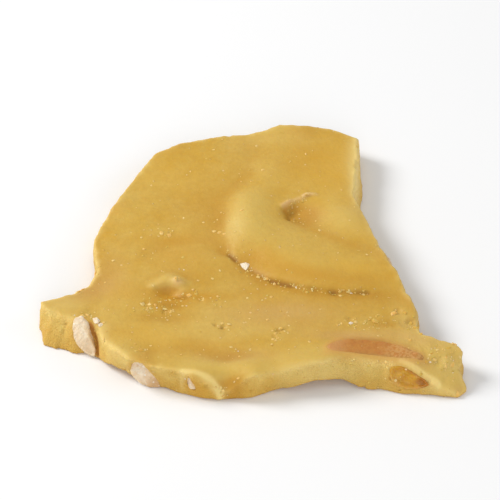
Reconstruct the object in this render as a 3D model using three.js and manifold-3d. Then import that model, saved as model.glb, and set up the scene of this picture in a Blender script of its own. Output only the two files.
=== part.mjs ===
// One broken piece of nut brittle: a flat slab of opaque golden candy with whole and broken
// nuts set in it, lying on the side that hardened against the cooling table.
//
// Units are millimetres and +Z is up. z = 0 is the surface the piece lies on, +X runs to the
// right along the long broken front edge, and +Y runs away from that edge.
import * as THREE from "three";
import { mergeVertices } from "three/addons/utils/BufferGeometryUtils.js";
import Module from "manifold-3d";

const wasm = await Module();
wasm.setup();

// ---------------------------------------------------------------- driving dimensions
const THICKNESS = 6.4; // the poured candy away from its folds and hollows
const RIM_LEVEL = 7; // the height at which the broken outline below is given
const PLAN_CENTRE = [-0.5, 3.07]; // middle of the outline's own box, moved to the origin
const GAP = 0.3; // clearance round each nut
const TOP_CELL = 2; // mesh size of the upper face
const UNDER_CELL = 3.6; // mesh size of the underside
const BREAK_STEP = 2; // mesh size along the broken edge
const WALL_STEP = 2; // mesh size up the broken edge
const CHIP = 0.45; // how far the fracture wanders in and out
const FLOW_WAVE = 0.28; // long waves left in the candy as it spread

// The break, anticlockwise from the left tip: x, y of the upper rim, and how far the foot
// of the wall stands out beyond that rim.
const FRONT_BREAK = [
  [-49.4, -17.0, 0.4],
  [-48.2, -18.9, 2.4],
  [-45.5, -20.5, 6.2],
  [-41.9, -21.8, 6.0],
  [-39.6, -24.1, 5.0],
  [-36.8, -24.6, 4.0],
  [-35.3, -25.9, 2.5],
  [-33.4, -31.9, 0.5],
  [-30.8, -35.3, 0.0],
  [-27.9, -37.9, -1.5],
  [-24.0, -39.2, -0.5],
  [-16.6, -41.4, 0.0],
  [-12.4, -42.8, 0.0],
  [-7.0, -44.0, 0.0],
  [-2.5, -43.4, 0.0],
  [6.0, -41.6, -0.5],
  [16.1, -40.1, 0.3],
  [20.7, -37.9, 1.5],
  [25.2, -37.5, 3.2],
  [29.8, -37.5, 3.6],
  [34.3, -38.8, 3.0],
  [42.2, -42.2, 0.8],
  [46.6, -43.4, 0.0],
];
const RIGHT_BREAK = [
  [48.0, -41.0, 0.4],
  [46.7, -37.2, 0.8],
  [47.8, -34.2, 0.2],
  [46.2, -32.0, 0.2],
  [42.5, -30.2, 0.4],
  [38.6, -28.0, 0.6],
  [37.9, -20.3, 1.0],
  [35.6, -13.8, 0.6],
  [34.2, -7.3, 0.2],
  [30.6, -0.4, 0.0],
  [26.9, 12.8, 0.6],
  [25.1, 22.1, 1.4],
  [25.8, 33.4, 1.6],
  [26.5, 45.1, 1.0],
];
const BACK_BREAK = [
  [23.7, 46.8, 0.4],
  [19.6, 49.0, 0.2],
  [14.5, 49.7, 0.4],
  [11.7, 48.3, 0.8],
  [6.8, 49.4, 0.6],
  [3.2, 47.6, 0.2],
  [-2.0, 46.8, -0.4],
  [-9.5, 45.6, 0.6],
  [-17.5, 43.6, 1.4],
  [-24.2, 38.8, 1.0],
];
const LEFT_BREAK = [
  [-27.6, 31.8, 0.6],
  [-31.6, 23.7, 0.4],
  [-34.8, 15.6, -0.4],
  [-37.9, 6.6, 0.4],
  [-36.2, -5.1, 1.2],
  [-38.1, -10.7, 0.8],
  [-40.2, -12.4, 1.2],
  [-44.4, -15.3, 2.4],
];
const BREAK = [...FRONT_BREAK, ...RIGHT_BREAK, ...BACK_BREAK, ...LEFT_BREAK];

// Hollows where the candy lifted off the table: x, y, half-length, half-width, turn, height.
const HOLLOWS = [
  [15.5, -42.0, 8, 9, 0, 3.0], // arch under the front edge
  [-31.0, -36.5, 6, 7, 0, 2.3], // left of the front nut
  [5.0, 50.0, 9, 6, 0, 1.9],
  [36.0, -2.0, 6, 12, 15, 1.7],
  [-41.0, 3.0, 7, 9, 0, 1.9],
  [-12.0, 8.0, 16, 11, 20, 1.2],
  [14.0, -15.0, 12, 9, 0, 1.0],
];
const TABLE_CONTACT = 0.3; // shallower hollows than this lie flat on the table

// Swellings and, with a negative height, dents of the upper face, as HOLLOWS.
const SWELLINGS = [
  [-41.0, 8.0, 7, 24, 8, -1.9], // left shoulder, rolling down to the edge
  [-28.0, -14.0, 9, 8, 0, 0.5],
  [-15.5, -3.5, 9, 5, 0, 0.6],
  [-20.0, -15.0, 2.8, 2.0, 0, -1.7], // hollow in front of the small nut bump
  [-20.5, -21.5, 7, 3, -8, -0.6],
  [-8.0, -34.5, 13, 3.2, -3, -0.9], // long valley beside the front edge
  [-3.0, 15.0, 4, 9, 8, 0.8], // shoulder of the fold
  [24.0, 10.5, 10, 4.5, -52, 1.5], // bright bump near the right edge
  [13.0, 14.0, 4.6, 3.4, -45, -1.5], // the fold's inner pocket
  [9.2, 15.6, 1.9, 1.5, 0, -1.8], // bubble hole
  [-5.5, -45.6, 6.2, 5.2, 0, -5.8], // the top rolls down to the foot here
  [27.0, -35.2, 13, 4, 0, -0.4], // bed of the long nut
  [38.5, -23.5, 3, 2.4, 30, -1.0],
  [31.5, -24.5, 7, 2.0, 10, -0.5],
];

// Narrow ridges and creases: height, half-width, and the line they follow.
const CREASES = [
  [0.9, 1.5, [[7.0, 13.5], [8.0, 19.0], [11.5, 22.6], [16.5, 24.6]]], // lip of the pocket
  [-1.2, 2.6, [[9.5, 13.5], [14.5, 8.1], [20.2, 4.5], [25.3, 1.5], [32.0, -3.0]]],
  [-0.7, 1.6, [[-26.5, -1.0], [-21.5, 3.5], [-16.7, 4.4], [-11.9, 3.5], [-8.0, 0.0]]],
  [1.5, 1.6, [[-21.6, -11.2], [-19.5, -9.2], [-17.2, -10.8]]], // small nut bump
];

// The fold: where the soft candy doubled over itself. Its nose follows this line, with the
// raised side on the left of the walk; x, y, and the height of the nose there.
const FOLD_NOSE = [
  [6.0, 62.0, 0.2],
  [1.0, 38.0, 0.8],
  [-1.7, 27.9, 1.6],
  [-5.6, 19.9, 2.4],
  [-6.6, 7.0, 2.8],
  [-6.2, -0.5, 3.0],
  [-1.6, -5.4, 3.0],
  [4.1, -10.3, 3.0],
  [12.5, -13.7, 2.9],
  [22.8, -15.2, 2.7],
  [32.0, -14.2, 1.6],
  [62.0, -8.0, 0.4],
];
const NOSE_WIDTH = 5.5; // from the crease to the crest
const FOLD_REACH = 17; // how far behind the crest the fold thins out
const FOLD_LEFT = 0.45; // the share of its height that stays beyond that

// The right end is broken off in a slope that starts at this line and faces the front right.
const SLOPE_LINE = [
  [33.5, -39.0, 0],
  [48.5, -34.5, 0],
];
const SLOPE = 0.78;

// The nuts: name, finish, the middle of the face that shows, [which way that face looks, how
// far it looks up, and the turn of the nut's length in it], [length, width and depth], how far
// its middle bows sideways, and how far the face stands out of the candy.
const NUTS = [
  ["nut_left_front", "nut_pale", [-39.3, -26.9, 4.1], [-114, 33, 118], [9.6, 3.8, 3.2], 0.4, 0.9],
  ["nut_front", "nut_pale", [-24.6, -38.6, 3.3], [-108, -4, 137], [8.4, 4.6, 4.5], 0.3, 0.5],
  ["nut_front_chip", "nut_pale", [-14.2, -41.7, 3.2], [-106, 0, 122], [3.2, 1.5, 1.6], 0.1, 0.4],
  ["nut_top", "nut_skin", [27.1, -34.3, 6.9], [-90, 88, -6], [22.0, 5.4, 2.9], 1.2, 0.3],
  ["nut_front_glazed", "nut_glazed", [35.2, -40.4, 3.4], [-104, 24, 142], [10, 3.6, 2.4], 0.5, -0.1],
  ["nut_east", "nut_pale", [42.6, -30.6, 3.0], [62, 2, 12], [6.2, 3.4, 3.0], 0.2, 0.4],
  ["nut_right_low", "nut_pale", [37.2, -16.6, 3.1], [19, 4, -12], [8.4, 3.9, 4.0], 0.6, 0.4],
  ["nut_right", "nut_pale", [32.0, -2.2, 4.3], [27, 0, 20], [7.4, 4.0, 4.0], 0.5, 0.8],
  ["nut_back", "nut_pale", [12.2, 48.4, 4.2], [92, 0, 7], [11.5, 4.3, 4.6], 0.8, 0.4],
  ["nut_back_left", "nut_pale", [-20.2, 42.0, 3.4], [124, 8, -18], [8.0, 4.2, 4.0], 0.3, 0.5],
  ["nut_left", "nut_pale", [-33.2, 19.8, 3.3], [158, 0, 12], [9.4, 4.0, 3.8], 0.5, 0.3],
  ["nut_under", "nut_pale", [16.5, 22.0, 0.1], [-90, -90, 35], [14.0, 6.4, 3.2], 1.6, 0.0],
];

const FINISHES = {
  candy: { color: 0xd9b160, roughness: 0.42, metalness: 0 },
  nut_pale: { color: 0xe6d2a8, roughness: 0.6, metalness: 0 },
  nut_skin: { color: 0xc08a4a, roughness: 0.45, metalness: 0 },
  nut_glazed: { color: 0xc4903c, roughness: 0.3, metalness: 0 },
};

// ---------------------------------------------------------------- small helpers
const mix = THREE.MathUtils.lerp;
const clamp = THREE.MathUtils.clamp;
const radians = THREE.MathUtils.degToRad;

// A repeatable random number from 0 to 1 for each whole-number place.
function roll(i, j, layer) {
  const v = Math.sin(i * 127.1 + j * 311.7 + layer * 74.7) * 43758.5453;
  return v - Math.floor(v);
}

// A smooth random field from -1 to 1 with one knot in each unit square.
function waves(x, y, layer) {
  const i = Math.floor(x);
  const j = Math.floor(y);
  const ease = (t) => t * t * (3 - 2 * t);
  const knot = (a, b) => 2 * roll(i + a, j + b, layer) - 1;
  const near = mix(knot(0, 0), knot(1, 0), ease(x - i));
  const far = mix(knot(0, 1), knot(1, 1), ease(x - i));
  return mix(near, far, ease(y - j));
}

// An oval bell on the plan.
function bell(x, y, [cx, cy, long, wide, turn, height]) {
  const c = Math.cos(radians(turn));
  const s = Math.sin(radians(turn));
  const u = ((x - cx) * c + (y - cy) * s) / long;
  const v = ((y - cy) * c - (x - cx) * s) / wide;
  return height * Math.exp(-(u * u + v * v));
}

// The nearest place on a line of points: how far, on which side (left is positive), and
// the third number of the points, read at that place.
function beside(line, x, y) {
  let best = { away: Infinity };
  for (let i = 0; i + 1 < line.length; i++) {
    const [ax, ay, ah = 0] = line[i];
    const [bx, by, bh = 0] = line[i + 1];
    const dx = bx - ax;
    const dy = by - ay;
    const t = clamp(((x - ax) * dx + (y - ay) * dy) / (dx * dx + dy * dy), 0, 1);
    const away = Math.hypot(x - ax - t * dx, y - ay - t * dy);
    const side = Math.sign(dx * (y - ay) - dy * (x - ax));
    if (away < best.away) best = { away, side, height: mix(ah, bh, t) };
  }
  return best;
}

// ---------------------------------------------------------------- the two faces
function underside(x, y) {
  const lifted = HOLLOWS.reduce((sum, hollow) => sum + bell(x, y, hollow), 0);
  return Math.max(0, lifted - TABLE_CONTACT);
}

function fold(x, y) {
  const { away, side, height } = beside(FOLD_NOSE, x, y);
  if (side <= 0) return 0;
  const climb = 1 - (1 - Math.min(away / NOSE_WIDTH, 1)) ** 2.2;
  const thin = FOLD_LEFT + (1 - FOLD_LEFT) * Math.exp(-((away / FOLD_REACH) ** 2));
  return height * climb * thin;
}

function endSlope(x, y) {
  const { away, side } = beside(SLOPE_LINE, x, y);
  return side < 0 ? SLOPE * away : 0;
}

function topFace(x, y) {
  let z = THICKNESS + 0.7 * underside(x, y) + fold(x, y) - endSlope(x, y);
  for (const swelling of SWELLINGS) z += bell(x, y, swelling);
  for (const [height, width, line] of CREASES)
    z += height * Math.exp(-((beside(line, x, y).away / width) ** 2));
  return z + FLOW_WAVE * waves(x / 17, y / 17, 1) + 0.4 * FLOW_WAVE * waves(x / 6, y / 6, 2);
}

// ---------------------------------------------------------------- solids
function solidOf(geometry) {
  const bare = geometry.clone();
  bare.deleteAttribute("normal");
  bare.deleteAttribute("uv");
  const merged = mergeVertices(bare, 1e-4);
  const vertProperties = new Float32Array(merged.attributes.position.array);
  const triVerts = new Uint32Array(merged.index.array);
  return new wasm.Manifold(new wasm.Mesh({ numProp: 3, vertProperties, triVerts }));
}

function geometryOf(solid) {
  const { vertProperties, triVerts } = solid.getMesh();
  const geometry = new THREE.BufferGeometry();
  geometry.setAttribute("position", new THREE.BufferAttribute(vertProperties, 3));
  geometry.setIndex(new THREE.BufferAttribute(triVerts, 1));
  geometry.computeVertexNormals();
  return geometry;
}

function moveVertices(geometry, move) {
  const { position } = geometry.attributes;
  const p = new THREE.Vector3();
  for (let i = 0; i < position.count; i++) {
    p.fromBufferAttribute(position, i);
    move(p);
    position.setXYZ(i, p.x, p.y, p.z);
  }
  return geometry;
}

// The outline walked in even steps, each with its outward direction and its foot.
function walkBreak() {
  const steps = [];
  BREAK.forEach(([ax, ay, aFoot], i) => {
    const [bx, by, bFoot] = BREAK[(i + 1) % BREAK.length];
    const count = Math.max(1, Math.round(Math.hypot(bx - ax, by - ay) / BREAK_STEP));
    for (let k = 0; k < count; k++) {
      const t = k / count;
      steps.push({ x: mix(ax, bx, t), y: mix(ay, by, t), foot: mix(aFoot, bFoot, t) });
    }
  });
  steps.forEach((step, i) => {
    const before = steps.at(i - 1);
    const after = steps[(i + 1) % steps.length];
    const run = Math.hypot(after.x - before.x, after.y - before.y);
    step.out = [(after.y - before.y) / run, (before.x - after.x) / run];
    step.along = i * BREAK_STEP;
  });
  return steps;
}

// The broken wall all round, as a column that is taller than the slab.
function brokenColumn() {
  const low = -WALL_STEP / 2;
  const levels = 7;
  const steps = walkBreak();
  const shape = new THREE.Shape(steps.map(({ x, y }) => new THREE.Vector2(x, y)));
  const column = new THREE.ExtrudeGeometry(shape, {
    depth: levels * WALL_STEP,
    steps: levels,
    bevelEnabled: false,
  });
  const key = (x, y) => `${Math.fround(x)} ${Math.fround(y)}`;
  const stepAt = new Map(steps.map((step) => [key(step.x, step.y), step]));
  return moveVertices(column.translate(0, 0, low), (p) => {
    const { foot, out, along } = stepAt.get(key(p.x, p.y));
    const flare = foot * clamp(1 - p.z / RIM_LEVEL, 0, 1);
    const chip = CHIP * waves(along / 5, p.z / 4, 3);
    p.x += out[0] * (flare + chip);
    p.y += out[1] * (flare + chip);
  });
}

// A block whose top (or whose bottom) carries a face's relief. The rest lies outside the slab.
function reliefBlock(face, cell, isTop) {
  const side = 116;
  const reach = 30;
  const cells = Math.round(side / cell);
  const block = new THREE.BoxGeometry(side, side, 1, cells, cells, 1);
  return moveVertices(block, (p) => {
    const onFace = p.z > 0 === isTop;
    if (onFace) p.z = face(p.x, p.y);
    else p.z = isTop ? -reach : reach;
  });
}

// A nut in its own axes: x along it, y across it, z out of the candy.
function nutGeometry([, , , , [long, wide, deep], bend, proud], grow, layer) {
  const nut = new THREE.SphereGeometry(1, 12, 8);
  return moveVertices(nut, (p) => {
    const lump = 1 + 0.07 * waves(2 * p.x + 5, 2 * p.y + 2 * p.z, layer);
    const bow = bend * (1 - 2 * p.x * p.x);
    p.x *= (long / 2 + grow) * lump;
    p.y = p.y * (wide / 2 + grow) * lump + bow;
    p.z *= deep + grow;
    if (grow === 0) p.z = Math.min(p.z, proud + 0.12 * waves(p.x, p.y, layer + 20));
  });
}

// The turn that brings a nut's own axes to its place in the slab.
function nutTurn([facing, rise, lean]) {
  const az = radians(facing);
  const up = radians(rise);
  const out = new THREE.Vector3(
    Math.cos(az) * Math.cos(up),
    Math.sin(az) * Math.cos(up),
    Math.sin(up),
  );
  const level = new THREE.Vector3(-Math.sin(az), Math.cos(az), 0);
  const across = new THREE.Vector3().crossVectors(out, level);
  const axes = new THREE.Matrix4().makeBasis(level, across, out);
  const inFace = new THREE.Matrix4().makeRotationZ(radians(lean));
  return new THREE.Quaternion().setFromRotationMatrix(axes.multiply(inFace));
}

function nutMesh(nut, layer) {
  const [name, finish, at, turns] = nut;
  const material = new THREE.MeshStandardMaterial(FINISHES[finish]);
  const mesh = new THREE.Mesh(nutGeometry(nut, 0, layer), material);
  mesh.name = name;
  mesh.position.set(...at);
  mesh.quaternion.copy(nutTurn(turns));
  return mesh;
}

function socketFor(nut, layer) {
  const [, , at, turns] = nut;
  const place = new THREE.Matrix4().compose(
    new THREE.Vector3(...at),
    nutTurn(turns),
    new THREE.Vector3(1, 1, 1),
  );
  return solidOf(nutGeometry(nut, GAP, layer).applyMatrix4(place));
}

function candyMesh() {
  let candy = solidOf(brokenColumn())
    .intersect(solidOf(reliefBlock(topFace, TOP_CELL, true)))
    .intersect(solidOf(reliefBlock(underside, UNDER_CELL, false)));
  NUTS.forEach((nut, i) => {
    candy = candy.subtract(socketFor(nut, i));
  });
  const material = new THREE.MeshStandardMaterial(FINISHES.candy);
  const mesh = new THREE.Mesh(geometryOf(candy), material);
  mesh.name = "candy";
  return mesh;
}

// ---------------------------------------------------------------- the piece
const brittle = new THREE.Group();
brittle.add(candyMesh());
NUTS.forEach((nut, i) => brittle.add(nutMesh(nut, i)));
brittle.position.set(-PLAN_CENTRE[0], -PLAN_CENTRE[1], 0);

export default brittle;
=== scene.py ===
# %% [markdown]
# # A broken piece of nut brittle
#
# Nut brittle is boiled sugar candy, worked until it is full of tiny air bubbles, poured over
# nuts and snapped into slabs when it has set. What tells the eye that it is brittle and not
# plastic is a satin, softly folded top, a crisp break all round that is paler and grainier than
# the top, nuts that were snapped with the candy, and crumbs of sugar in every crease.
#
# The CAD model already holds the slab and its nuts at their real size. This notebook lays a
# finer skin over the same forms. Lengths are in millimetres until a mesh is made, because the
# slab was laid out in millimetres, and every mesh is turned into metres in one place.

# %% Load the fixed frame
import itertools
import math
from collections import namedtuple

import bpy
import numpy as np
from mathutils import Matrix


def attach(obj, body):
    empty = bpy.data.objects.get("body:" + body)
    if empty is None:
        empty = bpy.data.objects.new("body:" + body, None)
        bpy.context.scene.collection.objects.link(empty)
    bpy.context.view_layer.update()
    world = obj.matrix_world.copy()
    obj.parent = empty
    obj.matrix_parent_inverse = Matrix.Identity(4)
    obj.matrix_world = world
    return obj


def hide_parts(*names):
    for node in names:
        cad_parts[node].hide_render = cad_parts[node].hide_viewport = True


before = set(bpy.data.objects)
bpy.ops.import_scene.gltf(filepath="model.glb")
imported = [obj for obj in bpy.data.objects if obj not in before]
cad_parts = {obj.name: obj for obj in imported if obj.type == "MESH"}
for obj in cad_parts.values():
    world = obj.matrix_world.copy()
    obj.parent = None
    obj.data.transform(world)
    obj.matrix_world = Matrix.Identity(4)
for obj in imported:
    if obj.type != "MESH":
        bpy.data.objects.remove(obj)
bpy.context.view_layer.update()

import openvdb
from mathutils import Vector
from mathutils.bvhtree import BVHTree

MM = 0.001
print("nodes:", ", ".join(sorted(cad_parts)))

# %% [markdown]
# ## Random fields that come out the same every time
#
# Candy flows and breaks unevenly, so nearly every shape below is nudged by noise. The CAD model
# uses one small noise function, and the skin has to wander exactly as the solid does, so the
# same function is written here for whole arrays at once. A sine of the knot's place gives each
# knot its random number, which needs no stored table and no seed to lose. Every use has a layer
# number of its own, so that no two fields are alike.

# %% Noise on the plan
SHUFFLE = (127.1, 311.7, 74.7)
SPREAD = 43758.5453


def roll(i, j, layer):
    """The random number of one knot of a layer, from 0 to 1."""
    v = np.sin(i * SHUFFLE[0] + j * SHUFFLE[1] + layer * SHUFFLE[2]) * SPREAD
    return v - np.floor(v)


def ease(t):
    """Starts and ends level between 0 and 1."""
    return t * t * (3 - 2 * t)


def mix(a, b, t):
    return a + (b - a) * t


def waves(x, y, layer):
    """A smooth field from -1 to 1 with one knot in each unit square."""
    i = np.floor(x)
    j = np.floor(y)
    u = ease(x - i)
    lower = mix(roll(i, j, layer), roll(i + 1, j, layer), u)
    upper = mix(roll(i, j + 1, layer), roll(i + 1, j + 1, layer), u)
    return 2 * mix(lower, upper, ease(y - j)) - 1


def ripples(x, y, rise, length, layer):
    """The same field with this height, and with its knots this far apart."""
    return rise * waves(x / length, y / length, layer)


sample = waves(np.linspace(0, 40, 4000), np.linspace(3, 19, 4000), 1)
print("noise runs from", round(sample.min(), 2), "to", round(sample.max(), 2))

# %% [markdown]
# ## The slab's own sizes
#
# These are the driving dimensions of the CAD model, repeated because the skin has to follow the
# same break, the same fold and the same hollows. Each point of the break is the upper rim's x
# and y, and how far the foot of the wall stands out beyond it.

# %% Driving dimensions, shared with the solid
THICKNESS = 6.4
RIM_LEVEL = 7
PLAN_CENTRE = (-0.5, 3.07)
BREAK_STEP = 2
CHIP = 0.45
FLOW_WAVE = 0.28

FRONT_BREAK = [
    (-49.4, -17.0, 0.4), (-48.2, -18.9, 2.4), (-45.5, -20.5, 6.2), (-41.9, -21.8, 6.0),
    (-39.6, -24.1, 5.0), (-36.8, -24.6, 4.0), (-35.3, -25.9, 2.5), (-33.4, -31.9, 0.5),
    (-30.8, -35.3, 0.0), (-27.9, -37.9, -1.5), (-24.0, -39.2, -0.5), (-16.6, -41.4, 0.0),
    (-12.4, -42.8, 0.0), (-7.0, -44.0, 0.0), (-2.5, -43.4, 0.0), (6.0, -41.6, -0.5),
    (16.1, -40.1, 0.3), (20.7, -37.9, 1.5), (25.2, -37.5, 3.2), (29.8, -37.5, 3.6),
    (34.3, -38.8, 3.0), (42.2, -42.2, 0.8), (46.6, -43.4, 0.0),
]
RIGHT_BREAK = [
    (48.0, -41.0, 0.4), (46.7, -37.2, 0.8), (47.8, -34.2, 0.2), (46.2, -32.0, 0.2),
    (42.5, -30.2, 0.4), (38.6, -28.0, 0.6), (37.9, -20.3, 1.0), (35.6, -13.8, 0.6),
    (34.2, -7.3, 0.2), (30.6, -0.4, 0.0), (26.9, 12.8, 0.6), (25.1, 22.1, 1.4),
    (25.8, 33.4, 1.6), (26.5, 45.1, 1.0),
]
BACK_BREAK = [
    (23.7, 46.8, 0.4), (19.6, 49.0, 0.2), (14.5, 49.7, 0.4), (11.7, 48.3, 0.8),
    (6.8, 49.4, 0.6), (3.2, 47.6, 0.2), (-2.0, 46.8, -0.4), (-9.5, 45.6, 0.6),
    (-17.5, 43.6, 1.4), (-24.2, 38.8, 1.0),
]
LEFT_BREAK = [
    (-27.6, 31.8, 0.6), (-31.6, 23.7, 0.4), (-34.8, 15.6, -0.4), (-37.9, 6.6, 0.4),
    (-36.2, -5.1, 1.2), (-38.1, -10.7, 0.8), (-40.2, -12.4, 1.2), (-44.4, -15.3, 2.4),
]
BREAK = FRONT_BREAK + RIGHT_BREAK + BACK_BREAK + LEFT_BREAK
print(len(BREAK), "corners in the break")

# %% [markdown]
# The two faces are sums of simple forms: oval bells for swellings and dents, narrow bells along
# a line for creases, and one long fold. A bell is named by its place, half-length, half-width,
# turn in degrees and height. The underside starts from the flat table and only lifts off it
# where the hollows are deeper than a small threshold, so it keeps real flat feet.

# %% Forms of the two faces, shared with the solid
HOLLOWS = [
    (15.5, -42.0, 8, 9, 0, 3.0), (-31.0, -36.5, 6, 7, 0, 2.3), (5.0, 50.0, 9, 6, 0, 1.9),
    (36.0, -2.0, 6, 12, 15, 1.7), (-41.0, 3.0, 7, 9, 0, 1.9), (-12.0, 8.0, 16, 11, 20, 1.2),
    (14.0, -15.0, 12, 9, 0, 1.0),
]
TABLE_CONTACT = 0.3
HOLLOW_SHOWS = 0.7
SWELLINGS = [
    (-41.0, 8.0, 7, 24, 8, -1.9), (-28.0, -14.0, 9, 8, 0, 0.5), (-15.5, -3.5, 9, 5, 0, 0.6),
    (-20.0, -15.0, 2.8, 2.0, 0, -1.7), (-20.5, -21.5, 7, 3, -8, -0.6),
    (-8.0, -34.5, 13, 3.2, -3, -0.9), (-3.0, 15.0, 4, 9, 8, 0.8), (24.0, 10.5, 10, 4.5, -52, 1.5),
    (13.0, 14.0, 4.6, 3.4, -45, -1.5), (9.2, 15.6, 1.9, 1.5, 0, -1.8),
    (-5.5, -45.6, 6.2, 5.2, 0, -5.8), (27.0, -35.2, 13, 4, 0, -0.4),
    (38.5, -23.5, 3, 2.4, 30, -1.0), (31.5, -24.5, 7, 2.0, 10, -0.5),
]
CREASES = [
    (0.9, 1.5, [(7.0, 13.5), (8.0, 19.0), (11.5, 22.6), (16.5, 24.6)]),
    (-1.2, 2.6, [(9.5, 13.5), (14.5, 8.1), (20.2, 4.5), (25.3, 1.5), (32.0, -3.0)]),
    (-0.7, 1.6, [(-26.5, -1.0), (-21.5, 3.5), (-16.7, 4.4), (-11.9, 3.5), (-8.0, 0.0)]),
    (1.5, 1.6, [(-21.6, -11.2), (-19.5, -9.2), (-17.2, -10.8)]),
]
FOLD_NOSE = [
    (6.0, 62.0, 0.2), (1.0, 38.0, 0.8), (-1.7, 27.9, 1.6), (-5.6, 19.9, 2.4), (-6.6, 7.0, 2.8),
    (-6.2, -0.5, 3.0), (-1.6, -5.4, 3.0), (4.1, -10.3, 3.0), (12.5, -13.7, 2.9),
    (22.8, -15.2, 2.7), (32.0, -14.2, 1.6), (62.0, -8.0, 0.4),
]
NOSE_WIDTH = 5.5
NOSE_CURVE = 2.2
FOLD_REACH = 17
FOLD_LEFT = 0.45
SLOPE_LINE = [(33.5, -39.0, 0), (48.5, -34.5, 0)]
SLOPE = 0.78


def near(distance, reach):
    """1 at a place and fading to 0 around it."""
    return np.exp(-((distance / reach) ** 2))


def smooth_step(value, start, end):
    """0 before the start and 1 after the end, with no corner between."""
    return ease(np.clip((value - start) / (end - start), 0, 1))


def bell(x, y, form):
    """One swelling or dent, turned on the plan."""
    cx, cy, long, wide, turn, height = form
    c = math.cos(math.radians(turn))
    s = math.sin(math.radians(turn))
    u = ((x - cx) * c + (y - cy) * s) / long
    v = ((y - cy) * c - (x - cx) * s) / wide
    return height * np.exp(-(u * u + v * v))


def bells(x, y, forms):
    return sum(bell(x, y, form) for form in forms)


def to_segment(start, end, *place):
    """How far along a segment its nearest point lies, from 0 to 1, and the distance to it."""
    way = [b - a for a, b, _ in zip(start, end, place)]
    along = sum((p - a) * d for p, a, d in zip(place, start, way))
    t = np.clip(along / sum(d * d for d in way), 0, 1)
    return t, np.sqrt(sum((p - a - t * d) ** 2 for p, a, d in zip(place, start, way)))


def beside(line, x, y):
    """Distance from a line of points, the side (left is positive) and the third number there."""
    away = np.full(np.broadcast(x, y).shape, np.inf)
    side = np.zeros_like(away)
    third = np.zeros_like(away)
    for start, end in zip(line, line[1:]):
        t, gap = to_segment(start, end, x, y)
        turn = (end[0] - start[0]) * (y - start[1]) - (end[1] - start[1]) * (x - start[0])
        closer = gap < away
        away = np.where(closer, gap, away)
        side = np.where(closer, np.sign(turn), side)
        if len(start) > 2:
            third = np.where(closer, mix(start[2], end[2], t), third)
    return away, side, third


def strips(lines, x, y):
    """Ridges and creases: bells drawn out along lines."""
    return sum(height * near(beside(line, x, y)[0], width) for height, width, line in lines)


def underside(x, y):
    """How far the underside lifts off the table."""
    return np.maximum(0, bells(x, y, HOLLOWS) - TABLE_CONTACT)


def fold(x, y):
    """The step up behind the fold's nose, which dies away towards the back."""
    away, side, height = beside(FOLD_NOSE, x, y)
    climb = 1 - (1 - np.minimum(away / NOSE_WIDTH, 1)) ** NOSE_CURVE
    thin = FOLD_LEFT + (1 - FOLD_LEFT) * near(away, FOLD_REACH)
    return np.where(side > 0, height * climb * thin, 0)


def end_slope(x, y):
    away, side, _ = beside(SLOPE_LINE, x, y)
    return np.where(side < 0, SLOPE * away, 0)


def poured_top(x, y):
    """The level of the top, with two sizes of gentle flow waves."""
    z = THICKNESS + HOLLOW_SHOWS * underside(x, y) + fold(x, y) - end_slope(x, y)
    z = z + bells(x, y, SWELLINGS) + strips(CREASES, x, y)
    return z + ripples(x, y, FLOW_WAVE, 17, 1) + ripples(x, y, 0.4 * FLOW_WAVE, 6, 2)


print("fold rises", round(float(fold(np.array(5.0), np.array(0.0))), 2), "mm at its middle")

# %% [markdown]
# The sums above meet in straight lines and hard corners, which suits a solid but not syrup. So
# the top is worked out once on a fine map, with its lines bent a little by noise, and the map is
# blurred as if the slab had melted by a millimetre. The fold sagged before it set: its crest
# sank, its nose melted into the left part, and the valley behind it filled up. Away from the
# front and the foot of the fold the slab slumped further, so a softer map takes over there.
# Blurring far more still gives the level of the surroundings, and the difference tells which
# places are basins, where darker syrup gathers. Creases and basins are also darkened as painted
# shade.

# %% Melt the top
MAP_CELL = 0.25
MAP_LOW = (-58.0, -52.0)
MAP_HIGH = (57.0, 58.0)
MELT = 0.85
SLUMP = 2.0
CREASE_REACH = 1.5
BASIN_REACH = 6
WANDER = 0.9
WANDER_LENGTH = 7
CRISP_REACH = 4
FRONT_BAND = (-26, -18)
SCARP = [
    (-5.5, -0.9), (-2.3, -4.5), (1.2, -7.4), (5.2, -10.4), (8.9, -12.0), (15.4, -14.1),
    (20.0, -14.7), (27.0, -14.2),
]
CRISP_SPOTS = [(9.5, 16.5, 6, 6, 0, 1), (-19, -12, 8, 6, 0, 1)]
NOSE_SAG = (-4.0, -2.0, 8, 5, -42, 0.62)
SWOLLEN = [
    (-10.5, 0.5, 6, 5, 0, 0.6), (-7.5, 9.0, 2.5, 8, 0, -0.4), (1.0, 12.0, 5, 7, 0, 0.15),
    (-2.0, -45.0, 4.5, 5.0, 0, 3.2), (-5.5, -39.8, 7, 1.8, 0, 1.0), (-7.2, -44.2, 1.6, 1.6, 0, -1.2),
    (-16.8, -11.0, 2.6, 1.4, -10, 0.5), (-18.4, -13.5, 2.6, 1.2, 0, -1.0), (3.0, -34.5, 7, 3, 0, 0.5),
    (-21.0, -15.9, 2.4, 1.6, 0, 0.8),
]
LEVELLED = [
    (0.8, 3.0, [(14.5, 8.1), (20.2, 4.5), (25.3, 1.5), (32.0, -3.0)]),
    (-0.8, 3.0, [(1.0, -2.5), (6.0, -6.5), (14.0, -9.3), (25.0, -10.0), (33.0, -8.5)]),
    (-0.6, 1.8, [(8.0, 19.0), (11.5, 22.6), (16.5, 24.6)]),
]


def soften(heights, reach):
    """Blurs a height map with a bell of this reach in millimetres."""
    count = round(3 * reach / MAP_CELL)
    weights = np.exp(-0.5 * (np.arange(-count, count + 1) * MAP_CELL / reach) ** 2)
    weights = weights / weights.sum()
    for _ in range(2):
        padded = np.pad(heights, ((count, count), (0, 0)), mode="edge")
        rows = sum(w * padded[k:k + len(heights)] for k, w in enumerate(weights))
        heights = rows.T
    return heights


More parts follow.
